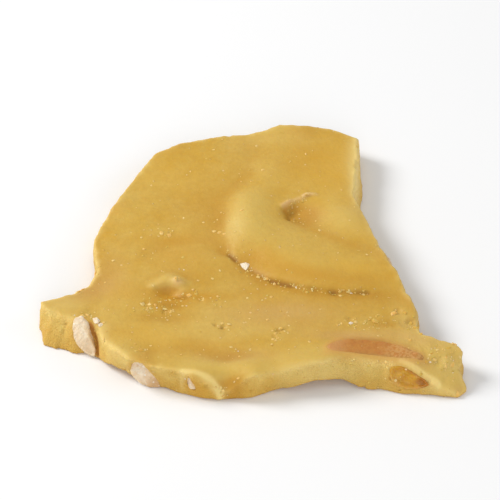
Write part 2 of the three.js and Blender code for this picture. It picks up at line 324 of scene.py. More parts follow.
def read_map(heights, x, y):
    """The map's value between its knots."""
    u = np.clip((x - MAP_LOW[0]) / MAP_CELL, 0, heights.shape[0] - 1.001)
    v = np.clip((y - MAP_LOW[1]) / MAP_CELL, 0, heights.shape[1] - 1.001)
    i = np.floor(u).astype(int)
    j = np.floor(v).astype(int)
    near_row = mix(heights[i, j], heights[i, j + 1], v - j)
    far_row = mix(heights[i + 1, j], heights[i + 1, j + 1], v - j)
    return mix(near_row, far_row, u - i)


map_x = np.arange(MAP_LOW[0], MAP_HIGH[0], MAP_CELL)[:, None]
map_y = np.arange(MAP_LOW[1], MAP_HIGH[1], MAP_CELL)[None, :]
bent_x = map_x + ripples(map_x, map_y, WANDER, WANDER_LENGTH, 31)
bent_y = map_y + ripples(map_x, map_y, WANDER, WANDER_LENGTH, 32)
settled = bells(bent_x, bent_y, SWOLLEN) + strips(LEVELLED, bent_x, bent_y)
settled = settled - fold(bent_x, bent_y) * bell(bent_x, bent_y, NOSE_SAG)
crisp_map = soften(poured_top(bent_x, bent_y) + settled, MELT)
crisp = near(beside(SCARP, map_x, map_y)[0], CRISP_REACH) + bells(map_x, map_y, CRISP_SPOTS)
crisp = np.clip(crisp + 1 - smooth_step(map_y, *FRONT_BAND), 0, 1)
TOP_MAP = mix(soften(crisp_map, SLUMP), crisp_map, crisp)
CREASE_MAP = soften(TOP_MAP, CREASE_REACH) - TOP_MAP
BASIN_MAP = soften(TOP_MAP, BASIN_REACH) - TOP_MAP
print("map of", TOP_MAP.shape, "knots; deepest basin", round(float(BASIN_MAP.max()), 2), "mm")

# %% [markdown]
# ## The break as a distance
#
# A solid can be described by a function that is negative inside and positive outside, and the
# mesh is then drawn where it passes zero. Cutting, joining and rounding become sums and maxima
# of such functions, which suits a broken thing: a chip out of the rim is one more maximum, and
# no boolean ever fails on it.
#
# The wall's function is the distance to the outline, less the amount that the foot stands out
# and the fracture wanders at that place and height.

# %% Walk round the outline
TINY = 1e-9


def walk_break():
    """The outline as short steps, each with the wall's flare at its foot."""
    corners = np.array(BREAK)
    steps = []
    for here, after in zip(corners, np.roll(corners, -1, axis=0)):
        count = max(1, round(math.hypot(*(after - here)[:2]) / BREAK_STEP))
        steps += [mix(here, after, k / count) for k in range(count)]
    return np.array(steps)


RIM = walk_break()


def from_rim(x, y):
    """Signed distance to the outline, the steps walked to the nearest place, and its foot."""
    away = np.full(np.broadcast(x, y).shape, np.inf)
    walked = np.zeros_like(away)
    foot = np.zeros_like(away)
    inside = np.zeros(away.shape, bool)
    for i, (start, end) in enumerate(zip(RIM, np.roll(RIM, -1, axis=0))):
        t, gap = to_segment(start, end, x, y)
        closer = gap < away
        away = np.where(closer, gap, away)
        walked = np.where(closer, i + t, walked)
        foot = np.where(closer, mix(start[2], end[2], t), foot)
        dx, dy = (end - start)[:2]
        crosses = (start[1] > y) != (end[1] > y)
        level = start[0] + dx * (y - start[1]) / (dy if dy else TINY)
        inside ^= crosses & (x < level)
    return np.where(inside, -away, away), walked, foot


print(len(RIM), "steps round the rim,",
      round(sum(math.dist(a[:2], b[:2]) for a, b in zip(RIM, np.roll(RIM, -1, axis=0)))), "mm")

# %% [markdown]
# ## The nuts
#
# A nut in the break is a bent oval body, snapped off level with the candy. It gets its own axes:
# u along it, v across it and w out of the candy, so that one description serves nuts in the
# walls, in the top and in the underside. Most bodies are the CAD model's. A few are turned or
# shifted by a little, so that the finer skin shows the right part of them.

# %% Nut table and axes
# Place in mm. Turns in degrees: the way the face looks, its rise, and the turn in the face.
# Size is length, width and depth. Proud says how far the snapped face stands out of the place.
Nut = namedtuple("Nut", "name finish place turns size bend proud")
NUTS = [Nut(*row) for row in (
    ("nut_left_front", "nut_pale", (-38.5, -26.8, 4.0), (-114, 33, 127), (9.8, 4.1, 3.2), 0.4, 0.9),
    ("nut_front", "nut_pale", (-24.3, -38.6, 3.1), (-108, 12, 139), (8.8, 5.2, 4.5), 0.3, 0.6),
    ("nut_front_chip", "nut_pale", (-13.5, -41.9, 3.3), (-106, 10, 122), (3.8, 2.0, 1.6), 0.1, 0.85),
    ("nut_top", "nut_skin", (27.8, -34.6, 6.9), (-90, 88, -6), (22.0, 5.2, 2.9), 1.0, 0.3),
    ("nut_front_glazed", "nut_glazed", (35.4, -40.3, 3.5), (-104, 24, 166), (9.0, 4.6, 2.4), 0.3,
     -0.1),
    ("nut_east", "nut_pale", (42.6, -30.6, 3.0), (62, 2, 12), (6.2, 3.4, 3.0), 0.2, 0.4),
    ("nut_right_low", "nut_pale", (37.2, -16.6, 3.1), (19, 4, -12), (8.4, 3.9, 4.0), 0.6, 0.4),
    ("nut_right", "nut_pale", (32.0, -2.2, 4.3), (27, 0, 20), (7.4, 4.0, 4.0), 0.5, 0.8),
    ("nut_back", "nut_pale", (12.2, 48.4, 4.2), (92, 0, 7), (11.5, 4.3, 4.6), 0.8, 0.65),
    ("nut_back_left", "nut_pale", (-20.2, 42.0, 3.4), (124, 8, -18), (8.0, 4.2, 4.0), 0.3, 0.5),
    ("nut_left", "nut_pale", (-33.2, 19.8, 3.3), (158, 0, 12), (9.4, 4.0, 3.8), 0.5, 0.3),
    ("nut_under", "nut_pale", (16.5, 22.0, 0.1), (-90, -90, 35), (14.0, 6.4, 3.2), 1.6, 0.0),
)]


def nut_axes(nut):
    """The directions along, across and out of a nut's face, as rows."""
    facing, rise, lean = (math.radians(v) for v in nut.turns)
    flat = math.cos(rise)
    out = np.array([math.cos(facing) * flat, math.sin(facing) * flat, math.sin(rise)])
    level = np.array([-math.sin(facing), math.cos(facing), 0])
    across = np.cross(out, level)
    return np.array([
        level * math.cos(lean) + across * math.sin(lean),
        across * math.cos(lean) - level * math.sin(lean),
        out,
    ])


def nut_place(nut, x, y, z):
    """A place in the slab, in the nut's own axes."""
    px, py, pz = nut.place
    return [a[0] * (x - px) + a[1] * (y - py) + a[2] * (z - pz) for a in nut_axes(nut)]


FULLER = {"nut_top": -0.1, "nut_front_glazed": 0.36, "nut_left_front": 0.14, "nut_front": 0.22}
USUALLY_FULLER = 0.1
BLUNT_END = 2.0
UNEVEN = 0.07
TINY_RADIUS = 1e-6


def nut_body(nut, u, v, w):
    """Signed distance to the whole nut, as it was before it was snapped. One end is fuller."""
    long, wide, deep = nut.size
    pu = u / (long / 2)
    if nut.finish == "nut_skin":
        pu = np.where(pu < 0, -np.abs(pu) ** BLUNT_END, pu)
    swollen = 1 + FULLER.get(nut.name, USUALLY_FULLER) * np.clip(pu, -1.2, 1.2)
    pv = (v - nut.bend * (1 - 2 * pu * pu)) / (wide / 2 * swollen)
    pw = w / deep
    swell = 1 + UNEVEN * waves(2 * pu + 5, 2 * pv + 2 * pw, NUTS.index(nut))
    r = np.sqrt(pu * pu + pv * pv + pw * pw) + TINY_RADIUS
    steep = np.sqrt((2 * pu / long) ** 2 + (2 * pv / wide) ** 2 + (pw / deep) ** 2) + TINY_RADIUS
    return r * (r - swell) / steep


print("longest nut:", max(nut.size[0] for nut in NUTS), "mm")

# %% [markdown]
# ## From a distance field to a mesh
#
# The field is sampled on a grid of small cells and OpenVDB draws the quads through its zero
# surface. The same helper makes the slab and each nut, only with a different cell size.
# `paint` keeps masks on the vertices, such as how near a vertex is to the rim. A material can
# read them, so the colour always follows the shape.

# %% Mesh helpers
OUTSIDE = 10.0


def draw_surface(field, low, high, cell):
    """Points and quads of a field's zero surface, in millimetres."""
    axes = [np.arange(a, b + cell, cell) for a, b in zip(low, high)]
    values = field(axes[0][:, None, None], axes[1][None, :, None], axes[2][None, None, :])
    values = np.broadcast_to(values, [len(a) for a in axes])
    grid = openvdb.FloatGrid(OUTSIDE)
    grid.copyFromArray(np.ascontiguousarray(values, dtype=np.float32))
    points, quads = grid.convertToQuads(0.0)
    return points.astype(float) * cell + np.array(low), quads.astype(int)


def to_object(name, points, faces, smooth=True):
    """A Blender object in metres, with its place in the mesh."""
    mesh = bpy.data.meshes.new(name)
    mesh.from_pydata(((points - [*PLAN_CENTRE, 0]) * MM).tolist(), [], faces.tolist())
    if smooth:
        mesh.shade_smooth()
    piece = bpy.data.objects.new(name, mesh)
    bpy.context.scene.collection.objects.link(piece)
    return piece


def paint(piece, name, values):
    """Keeps a mask from 0 to 1 on the mesh, one number a vertex."""
    layer = piece.data.attributes.new(name, "FLOAT", "POINT")
    layer.data.foreach_set("value", np.clip(values, 0, 1).astype(np.float32))


def smooth_max(a, b, width):
    """The larger of two fields, with the edge between them rounded over this width."""
    overlap = np.maximum(width - np.abs(a - b), 0) / width
    return np.maximum(a, b) + overlap * overlap * width / 4


print("rounding over 1 mm takes", smooth_max(0, 0, 1), "mm off a sharp edge")

# %% [markdown]
# ## Fine forms of the slab
#
# On top of the solid's forms go the things that are too small for it. Craters are popped bubbles
# with a raised lip. The right end was bruised by the break, so it is lumpy. The fold cracked at
# its foot when it set, and a torn lip hangs over the hole behind it. They could be sculpted by
# hand, but as sums on the height of the top they stay easy to move and to measure.

# %% Craters, dimples, crack and torn lip
CRATERS = [
    (-8.3, -25.2, 0.8, 0.50), (-6.4, -25.7, 0.9, 0.55), (6.3, -27.3, 1.0, 0.55),
    (7.8, -26.8, 0.8, 0.35), (5.3, -29.4, 0.8, 0.35), (22.4, -23.6, 1.0, 0.40),
    (33.8, -20.2, 1.0, 0.40), (-24.6, -18.2, 1.1, 0.40), (-20.1, -20.4, 1.0, 0.40),
    (-11.9, -16.2, 0.9, 0.30), (41.9, -37.2, 1.2, 0.60), (36.4, -23.6, 1.1, 0.50),
]
CRATER_LIP = (0.4, 1.2, 0.4)
LIP = [(7.3, 16.3), (8.9, 18.1), (11.4, 19.5), (13.4, 20.9), (15.4, 21.1)]
DIMPLES = [
    (-0.22, 0.5, [(-21.8, -13.0), (-20.0, -13.3), (-18.2, -13.8)]),
    (-0.25, 0.5, [(-17.4, -14.8), (-15.0, -15.2)]),
]
KNOBS = [
    (-23.3, -12.3, 0.9, 0.7, 0, 0.35), (-17.7, -11.0, 1.0, 0.8, 0, 0.45),
    (-16.0, -13.2, 0.9, 0.6, 0, 0.25), (44.5, -36.9, 1.4, 0.9, -30, 0.5),
]
BRUISES = [(43, -36, 9, 7, -25, 1.3), (36, -24.5, 6, 5, 0, 0.7), (-38, -20, 5, 3, 0, 0.5)]
SCARP_WIDTH = 0.6
SCARP_CUT = 0.5
LIP_RISE = 0.6


def crater(x, y, spot):
    """A pit with a raised lip, both uneven, from its place, radius and depth."""
    cx, cy, radius, depth = spot
    uneven_x = x + ripples(x, y, 0.35, 0.9, 14)
    uneven_y = y + ripples(x, y, 0.3, 1.1, 15)
    r = np.hypot(uneven_x - cx, uneven_y - cy) / radius
    rise, place, width = CRATER_LIP
    return depth * (rise * near(r - place, width) - np.exp(-r * r))


def bruised(x, y):
    """Where the slab is crumbly, from 0 to 1."""
    return np.clip(bells(x, y, BRUISES), 0, 1)


def crack(x, y):
    """The crack under the fold, from 0 to 1. It closes here and there."""
    depth = np.clip(0.5 + ripples(x, y, 0.9, 2.1, 12), 0.05, 1)
    return near(beside(SCARP, x, y)[0], SCARP_WIDTH) * depth


def lip_crumble(x, y):
    """The torn lip over the hole, from 0 to 1. It crumbled away in places."""
    left = np.clip(0.9 + ripples(x, y, 0.5, 0.9, 16), 0.6, 1.3)
    return near(beside(LIP, x, y)[0], 0.5) * left


def fine_top(x, y):
    """The level of the top with all its small forms."""
    z = read_map(TOP_MAP, x, y) + sum(crater(x, y, spot) for spot in CRATERS)
    z = z + strips(DIMPLES, x, y) + bells(x, y, KNOBS)
    z = z - SCARP_CUT * crack(x, y) + LIP_RISE * lip_crumble(x, y)
    lumpy = ripples(x, y, 0.42, 3.3, 5) + ripples(x, y, 0.2, 1.5, 6)
    return z + bruised(x, y) * lumpy + 0.07 * waves(x / 3.1 + 9, y / 2.7, 7)


level = fine_top(np.linspace(-30, 30, 200), -20.0)
print("along one line the top runs from", round(level.min(), 1), "to", round(level.max(), 1), "mm")

# %% [markdown]
# Candy chips when it is snapped, so the rim has shallow scallops, and bubbles open as round pits
# in the wall. Both are balls taken out of the slab. Dice choose their steps of the rim, and the
# seed keeps the throw, so that the same bites come out in every run.

# %% Bites out of the rim and the wall
SCALLOPS = 46
SCALLOP_RADII = (1.1, 3.2)
SCALLOP_DEPTHS = (0.25, 0.55)
SCALLOP_SLANT = (0.62, 0.78)
PITS = 80
PIT_RADII = (0.35, 0.7)
PIT_LEVELS = (0.8, 5.8)
PIT_SINK = 0.6


def outward(place):
    """The direction out of the slab at a step of the rim."""
    before = RIM[place - 1]
    after = RIM[(place + 1) % len(RIM)]
    out = np.array([after[1] - before[1], before[0] - after[0]])
    return out / np.linalg.norm(out)


def scatter_balls():
    """Balls that bite into the slab: scallops along the rim and pits in the wall."""
    dice = np.random.default_rng(11)
    out, up = SCALLOP_SLANT
    balls = []
    for place in dice.choice(len(RIM), SCALLOPS, replace=False):
        radius = dice.uniform(*SCALLOP_RADII)
        x, y = RIM[place, :2] + outward(place) * radius * out
        level = float(read_map(TOP_MAP, *RIM[place, :2]))
        balls.append((x, y, level + radius * up - dice.uniform(*SCALLOP_DEPTHS), radius))
    for place in dice.choice(len(RIM), PITS):
        radius = dice.uniform(*PIT_RADII)
        z = dice.uniform(*PIT_LEVELS)
        flare = RIM[place, 2] * (1 - z / RIM_LEVEL) + radius * dice.uniform(0.0, PIT_SINK)
        x, y = RIM[place, :2] + outward(place) * flare
        balls.append((x, y, z, radius))
    return balls


BALLS = scatter_balls()
print(len(BALLS), "bites, largest radius", round(max(b[3] for b in BALLS), 1), "mm")


# %% [markdown]
# Now the whole slab is one function. A larger number wins in a maximum, so `np.maximum(solid, -f)`
# takes the form f away and leaves a sharp edge, and `smooth_max` leaves a soft one. Where a nut
# lies against the candy, the hot syrup climbed a little way up it, and that meniscus is what
# makes a nut look set in and not stuck on. Each nut gets a seat a little smaller than its body,
# so that no gap shows between them.

# %% The slab's field
GROOVE = [(-37.4, -24.5, 6.6), (-36.1, -27.3, 4.0), (-35.5, -29.9, 1.2)]
GROOVE_RADIUS = 0.42
HOLE = (9.0, 14.0, 8.3)
HOLE_SIZE = (1.1, 2.9, 2.3)
HOLE_ROUND = 0.4
GROOVE_ROUND = 0.5
TOP_STEEPNESS = 0.92
RIM_ROUND = 0.5
WORN_RIM = (13, -40, 19, 5, 4, 2.6)
FOOT_ROUND = 0.6
MENISCUS = 0.3
MENISCUS_REACH = 0.9
OVERLAP = {"nut_pale": 0.25, "nut_skin": 1.2, "nut_glazed": 0.4}


def groove_field(x, y, z):
    """Signed distance to the groove where the candy tore away from a nut."""
    gaps = [to_segment(start, end, x, y, z)[1] for start, end in zip(GROOVE, GROOVE[1:])]
    return np.min(gaps, axis=0) - GROOVE_RADIUS


def candy_faces(x, y, z):
    """The wall, the top and the underside, each as a signed distance."""
    away, walked, foot = from_rim(x, y)
    along = walked * BREAK_STEP
    flare = foot * np.clip(1 - z / RIM_LEVEL, 0, 1) + CHIP * waves(along / 5, z / 4, 3)
    rough = 0.16 * waves(along / 1.9, z / 1.6, 9) + 0.07 * waves(along / 0.9, z / 0.8, 10)
    wall = (away - flare - rough) / np.sqrt(1 + (foot / RIM_LEVEL) ** 2)
    return wall, TOP_STEEPNESS * (z - fine_top(x, y)), underside(x, y) - z


def climb_at(body):
    """How far the syrup climbed up a nut near it."""
    return MENISCUS * near(body, MENISCUS_REACH)


def rounded_rim(wall, top, x, y):
    """The wall and the top, joined by a rim that is rounder where it is worn."""
    return smooth_max(wall, top, RIM_ROUND + bell(x, y, WORN_RIM))


def hole_field(x, y, z):
    """Signed distance to the bubble that opened under the torn lip."""
    reach = sum(((p - c) / r) ** 2 for p, c, r in zip((x, y, z), HOLE, HOLE_SIZE))
    return (np.sqrt(reach) - 1) * HOLE_SIZE[0] + ripples(x, y, 0.3, 1.3, 17)


def candy_field(x, y, z):
    """The slab: its faces, less the bites, the groove, the hole and a seat for each nut."""
    wall, top, under = candy_faces(x, y, z)
    bodies = [nut_body(nut, *nut_place(nut, x, y, z)) for nut in NUTS]
    climb = sum(climb_at(body) for body in bodies)
    solid = smooth_max(rounded_rim(wall - climb, top - climb, x, y), under, FOOT_ROUND)
    for bx, by, bz, radius in BALLS:
        solid = np.maximum(solid, radius - np.sqrt((x - bx) ** 2 + (y - by) ** 2 + (z - bz) ** 2))
    solid = smooth_max(solid, -groove_field(x, y, z), GROOVE_ROUND)
    solid = smooth_max(solid, -hole_field(x, y, z), HOLE_ROUND)
    for nut, body in zip(NUTS, bodies):
        ragged = OVERLAP[nut.finish] * (1 + ripples(x, y, 0.6, 1.6, 50))
        solid = np.maximum(solid, -(body + ragged))
    return solid


print("rim rounded by", RIM_ROUND, "mm, seats", OVERLAP["nut_pale"], "mm smaller than their nuts")

# %% Draw the slab
CANDY_CELL = 0.43
CANDY_LOW = (-52, -46, -1)
CANDY_HIGH = (51, 52, 12)
candy_points, candy_quads = draw_surface(candy_field, CANDY_LOW, CANDY_HIGH, CANDY_CELL)
slab = to_object("slab", candy_points, candy_quads)
print("slab:", len(candy_points), "vertices,", 2 * len(candy_quads), "triangles")

# %% [markdown]
# ## Masks for the slab's finish
#
# The top was poured and dried with a skin, and the wall is the bare inside, so they look
# different and the material has to tell them apart. The masks are worked out from the same
# fields: which face a vertex lies on, how near it is to the rim, how deep it lies in a fold or
# hollow, and how near it is to a nut. Four tints follow the way the syrup was stirred, and are
# sums of bells. Amber is syrup that stayed thick, and in hollows, at the foot of the fold and
# left of the fold's nose it is also painted shade and a painted shadow. Gold is syrup that stayed
# clean. Cream is candy stretched thin, and on the fold's nose, the bump's crest, the knobs and the
# right edge it is also a painted highlight. A dull pink blush is where nut dust and air got in.

# %% Places of the four tints
TINTS = {
    # Amber: thick syrup, and painted shade in hollows and at the fold's foot, and a painted shadow left
    # of the fold's nose.
    "amber": [
        (4, -4, 8, 3.4, -38, 0.7), (15, -10, 9, 3.0, -12, 0.9), (26, -11, 6, 3, 5, 0.6),
        (-22.5, -14.5, 6, 3, 0, 0.6), (-12, -15.5, 8, 1.6, 0, 0.6), (-11, -32, 8, 2.5, 0, 0.6),
        (-12.5, -43.4, 4, 1.6, -10, 0.5), (-4.3, -42.9, 2.4, 1.4, 0, 1.8), (-19, 5, 9, 2, 0, 0.5),
        (12, 36, 9, 7, 20, 0.4), (-16, -2, 8, 7, 0, 0.6), (19, 4.5, 8, 1.0, -32, 0.5),
        (-13, 14, 5, 12, 0, 0.3), (-18.6, -13.6, 3.0, 0.9, 0, 0.7), (-12, -14.8, 5, 1.2, -5, 0.5),
        (-31, -13, 6, 5, 0, 0.3), (-19, -17.8, 4.5, 2.0, 0, 0.9), (-16.8, -15.2, 1.8, 0.8, -5, 0.8),
        (21.5, -41.5, 4, 1.5, 0, 0.5), (-19.9, -13.3, 2.0, 0.7, -5, 1.0), (11.8, 15.6, 1.8, 1.4, 0, 0.5),
    ],
    # Cream: thin stretched candy, and painted highlights on the fold's nose, the bump's crest, the knobs
    # and the right edge.
    "cream": [
        (-3.8, 8.5, 2.8, 5.0, 4, 0.8), (-3.0, 16.0, 3.6, 7.0, 4, 0.2), (22, 9, 8, 5, -52, 0.2),
        (25.0, 32, 1.7, 14, 0, 1.2), (-17.7, -10.8, 1.1, 0.9, 0, 1.3), (0, -26, 16, 5, 5, 0.3),
        (22, -38.6, 9, 1.0, 5, 0.8), (-23.3, -12.1, 1.2, 0.8, 0, 0.8), (35.5, -24, 2.5, 5, 15, 0.7),
        (13, -39.8, 7, 1.0, 5, 0.9), (-44, -17.6, 4, 2.6, 0, 0.7), (13, -40.6, 8, 1.2, 0, 0.6),
        (44, -39, 4, 3, 0, 0.6), (44.6, -36.9, 1.7, 1.1, -30, 1.2), (-20, -11.2, 3, 1.2, 0, 0.5),
        (-16.6, -13.2, 1.4, 0.8, 0, 0.6), (-34.2, -27.0, 1.5, 3.5, -10, 1.0),
        (5, 44, 10, 3, 0, 0.4), (-20, 30, 8, 6, 0, 0.3),
    ],
    "blush": [
        (-39, -12.5, 7, 3.6, 10, 0.8), (-33, -6, 4, 8, 0, 0.4), (14, 14.5, 4, 2.6, -45, 0.6),
        (23, -29.0, 9, 2.0, 0, 0.9), (36, -30, 6, 2.5, -25, 0.6), (34, -37.6, 6, 1.3, -10, 0.9),
        (42, -32, 6, 3, -20, 0.5), (46.7, -42.6, 1.6, 1.4, 0, 1.0), (24, -42.0, 9, 2.0, 0, 0.7),
        (7, -21, 13, 4.5, 0, 0.7), (-3, -36, 10, 2.5, 0, 0.6), (20, -39.6, 4, 1.5, 0, 0.5),
    ],
    "gold": [
        (19, 31, 10, 14, 0, 0.8), (24, -7, 7, 3, -10, 0.8), (-21, 31, 9, 8, 0, 0.4),
        (8, -5, 9, 3, -30, 0.4), (-24, -30, 8, 4, 0, 0.5), (-19.0, -14.2, 3.0, 1.2, 0, 0.6),
        (-12.0, -43.0, 3.5, 1.6, -10, 1.2), (43, -43, 3, 1.5, 0, 0.35),
    ],
}
CREAM_STOP = (-7.0, -6.0)
CREAM_STOP_BEHIND = 2
print("bells of tint:", sum(len(places) for places in TINTS.values()))

# %% Where each face lies
CREASE_DEEP = 0.16
BASIN_DEEP = 0.7
SWELLING_HIGH = 0.8
WALL_BLEND = (-0.7, 0.0)
BASE_BLEND = (-0.5, 0.0)
LOW_LEVELS = (5.6, 1.5)
x, y, z = candy_points.T
wall, top, under = candy_faces(x, y, z)
on_wall = smooth_step(wall - np.maximum(top, under), *WALL_BLEND)
on_base = smooth_step(under - np.maximum(top, wall), *BASE_BLEND)
off_wall = 1 - on_wall
off_base = 1 - on_base
crease = read_map(CREASE_MAP, x, y)
basin = read_map(BASIN_MAP, x, y)
face_masks = {
    "wall": on_wall,
    "base": on_base,
    "low": smooth_step(z, *LOW_LEVELS) * on_wall,
    # crease and basin darken the top: darker syrup, and painted shade in the hollows.
    "crease": crease / CREASE_DEEP * off_wall,
    "basin": basin / BASIN_DEEP * off_wall,
    # raised lightens the swellings: thin candy, and a painted highlight on them.
    "raised": -basin / SWELLING_HIGH * off_wall,
}
print("share of the skin on walls:", round(float(on_wall.mean()), 2))

# %% The pale rim, partly a painted highlight
# Strips of painted highlight along thin, lit edges: the chip's band, the glazed nut's rim and the right
# edge.
THIN_AND_LIT_EDGES = [
    (1.3, 0.6, [
        (-15.6, -41.0), (-12.9, -41.1), (-10.4, -41.6), (-8.9, -42.2), (-7.9, -43.0), (-7.0, -44.2),
    ]),
    (1.5, 0.55, [(33.6, -37.7), (37.0, -39.3), (42.0, -41.5)]),
    (0.75, 0.9, [(26.3, 44.5), (25.9, 33.0), (25.2, 22.0)]),
    (0.3, 1.6, [(-32.5, -33.5), (-29.0, -36.5)]), (0.3, 1.5, [(39.0, -42.0), (46.0, -43.5)]),
]
DULL_EDGE = (-3.8, -43.0, 2.6, 1.6, 0, 1.0)
BROAD_EDGE = (-33, -31, 4, 7, 0, 0.6)
EDGE_WIDTH = 0.9
EDGE_STRENGTH = 0.34
# The rim is paler thin candy, with a painted highlight where light passes through the edge.
pale_edge_and_highlight = near(wall - top + ripples(x, y, 0.5, 1.7, 18), EDGE_WIDTH + bell(x, y, BROAD_EDGE))
pale_edge_and_highlight = pale_edge_and_highlight * (EDGE_STRENGTH + ripples(x, y, 0.24, 2.6, 19)) * (1 - bell(x, y, DULL_EDGE))
pale_edge_and_highlight = pale_edge_and_highlight + strips(THIN_AND_LIT_EDGES, x, y)
print("rim's mean strength:", round(float(pale_edge_and_highlight.mean()), 3))

# %% Nuts, crumbly places and dark lines of painted shade
GRITTY = [(1.5, -41.6, 6, 1.3, 0, 1.0), (24, -38.6, 5, 1.5, 0, 0.8), (-4, -43.6, 4, 1.5, 0, 0.8)]
BUMP_CREST_HIGHLIGHT = (-17.4, -11.3, 1.1, 0.8, 0, 0.8)
SHADES = [
    (-16.8, -15.2, 2.0, 0.8, -5, 0.65), (-19.2, -18.2, 2.6, 1.4, 0, 0.36),
    (-4.3, -42.5, 2.0, 0.9, 0, 0.3), (9.0, 14.4, 1.1, 2.4, 0, 0.08),
]
NUT_SHADE = (-1.5, 0, 5, 1, 0, 0.4)
SHADE_SIDE = (0, 1.5)
NEAR_NUT = 1.1
STAIN_WIDTH = 1.3
TORN_WIDTH = 0.25
body_gap = np.min([nut_body(nut, *nut_place(nut, x, y, z)) for nut in NUTS], axis=0)
skin_nut = next(nut for nut in NUTS if nut.finish == "nut_skin")
skin_u, skin_v, skin_w = nut_place(skin_nut, x, y, z)
skin_gap = np.maximum(nut_body(skin_nut, skin_u, skin_v, skin_w), 0)
nut_shade = near(skin_gap, 0.75 + 0.45 * waves(x / 1.3, y, 13)) * smooth_step(skin_v, *SHADE_SIDE)
nut_shade = nut_shade * bell(skin_u, 0, NUT_SHADE)
place_masks = {
    "rim": pale_edge_and_highlight * off_base,
    "nut_near": near(np.maximum(body_gap, 0), NEAR_NUT),
    "stain": near(skin_gap, STAIN_WIDTH),
    # The torn lip's pale candy, and a painted highlight on the bump's crest.
    "lip": (lip_crumble(x, y) + bell(x, y, BUMP_CREST_HIGHLIGHT)) * off_base,
    "torn": near(np.maximum(groove_field(x, y, z), 0), TORN_WIDTH),
    "gritty": bells(x, y, GRITTY),
    "bruised": bruised(x, y),
    # Painted shade: beside the nut in the top, in the crack under the fold, and at the SHADES spots.
    "line": np.max([nut_shade, crack(x, y), bells(x, y, SHADES)], axis=0) * off_base,
}
print("share of the skin near a nut:", round(float((body_gap < 1).mean()), 2))

# %% Paint the slab
tint_masks = {name: bells(x, y, places) * off_base for name, places in TINTS.items()}
tint_masks["cream"] = tint_masks["cream"] * np.where(
    y > CREAM_STOP_BEHIND, smooth_step(x, *CREAM_STOP), 1)
for name, values in (face_masks | place_masks | tint_masks).items():
    paint(slab, name, values)
print("masks on the slab:", len(face_masks | place_masks | tint_masks))

# %% [markdown]
# ## Nut bodies
#
# Each nut is drawn in its own axes, which lets its grid be much finer than the slab's. A snapped
# nut isn't flat, because nuts part along two or three planes. So the broken nut is the largest of
# its whole body and a few leaning planes, and the planes are smoothed into each other so that
# their edges look broken and not milled. Masks again mark the outer ring, where skin and syrup
# sit, and the facet that a point belongs to.

# %% Fields of the broken nuts
CUTS = 3
CUT_TURN = 2.1
CUT_TILTS = (1.2, 2.6)
CUT_SHIFTS = (0.2, 0.5)
CUT_ROUND = 0.12
FACE_ROUND = 0.35
TORN_WAVE = 0.12
TORN_SINK = 0.1
COATING = 0.1
COATED_ROUND = 0.4
GLAZE = 0.08
GLAZED_ROUND = 0.2


def nut_cuts(nut, u, v, w):
    """The snapped face as a few leaning planes, with the grain of torn nut."""
    layer = NUTS.index(nut)
    dice = np.random.default_rng(100 + layer)
    long, wide, _ = nut.size
    wander = TORN_WAVE * waves(u, v, layer + 20) + 0.05 * waves(u / 0.45, v / 0.35, layer + 40)
    cuts = []
    for turn in dice.uniform(0, 2 * math.pi) + np.arange(CUTS) * CUT_TURN:
        tilt = dice.uniform(*CUT_TILTS) / long
        lean = tilt * (u * math.cos(turn) + v * math.sin(turn))
        shift = tilt * dice.uniform(*CUT_SHIFTS) * wide / 2
        cuts.append(w - nut.proud - wander - TORN_SINK + lean + shift)
    return cuts


def above_candy(nut, u, v, w):
    """Signed distance to the candy's own surface, at a place in a nut's axes."""
    x, y, z = (at + u * a + v * b + w * c for at, a, b, c in zip(nut.place, *nut_axes(nut)))
    wall, top, _ = candy_faces(x, y, z)
    return rounded_rim(wall, top, x, y)


def nut_field(nut, u, v, w):
    """Broken nuts end in facets. The coated and the glazed one end level with the candy."""
    body = nut_body(nut, u, v, w)
    if nut.finish == "nut_skin":
        swell = COATING + COATING * waves(u / 1.9, v / 1.6, 60)
        return smooth_max(body, above_candy(nut, u, v, w) - MENISCUS - swell, COATED_ROUND)
    if nut.finish == "nut_glazed":
        lumps = (0.35 * waves(u / 1.3, v / 1.1, 61) - 0.2) * smooth_step(-body, 0.2, 1.2)
        face = above_candy(nut, u, v, w) - climb_at(body) - GLAZE - lumps
        return smooth_max(body, face, GLAZED_ROUND)
    face = w - nut.proud - TORN_WAVE * waves(u, v, NUTS.index(nut) + 20)
    for cut in nut_cuts(nut, u, v, w):
        face = smooth_max(face, cut, CUT_ROUND)
    return smooth_max(body, face, FACE_ROUND)


print("planes in a snapped face:", CUTS)

# %% Draw the nuts
NUT_CELL = 0.16
NUT_FOOT = 0.1
FACE_STARTS = (-0.9, -0.25)
RING_WIDTH = 0.45
STAINED_END = (0.05, 0.4)
FRINGE_FROM = (-7, -1)
COVERED_FROM = (6, 13)
BARE_TIP = (5, 9)
HAIRY_FROM = (0, 5)


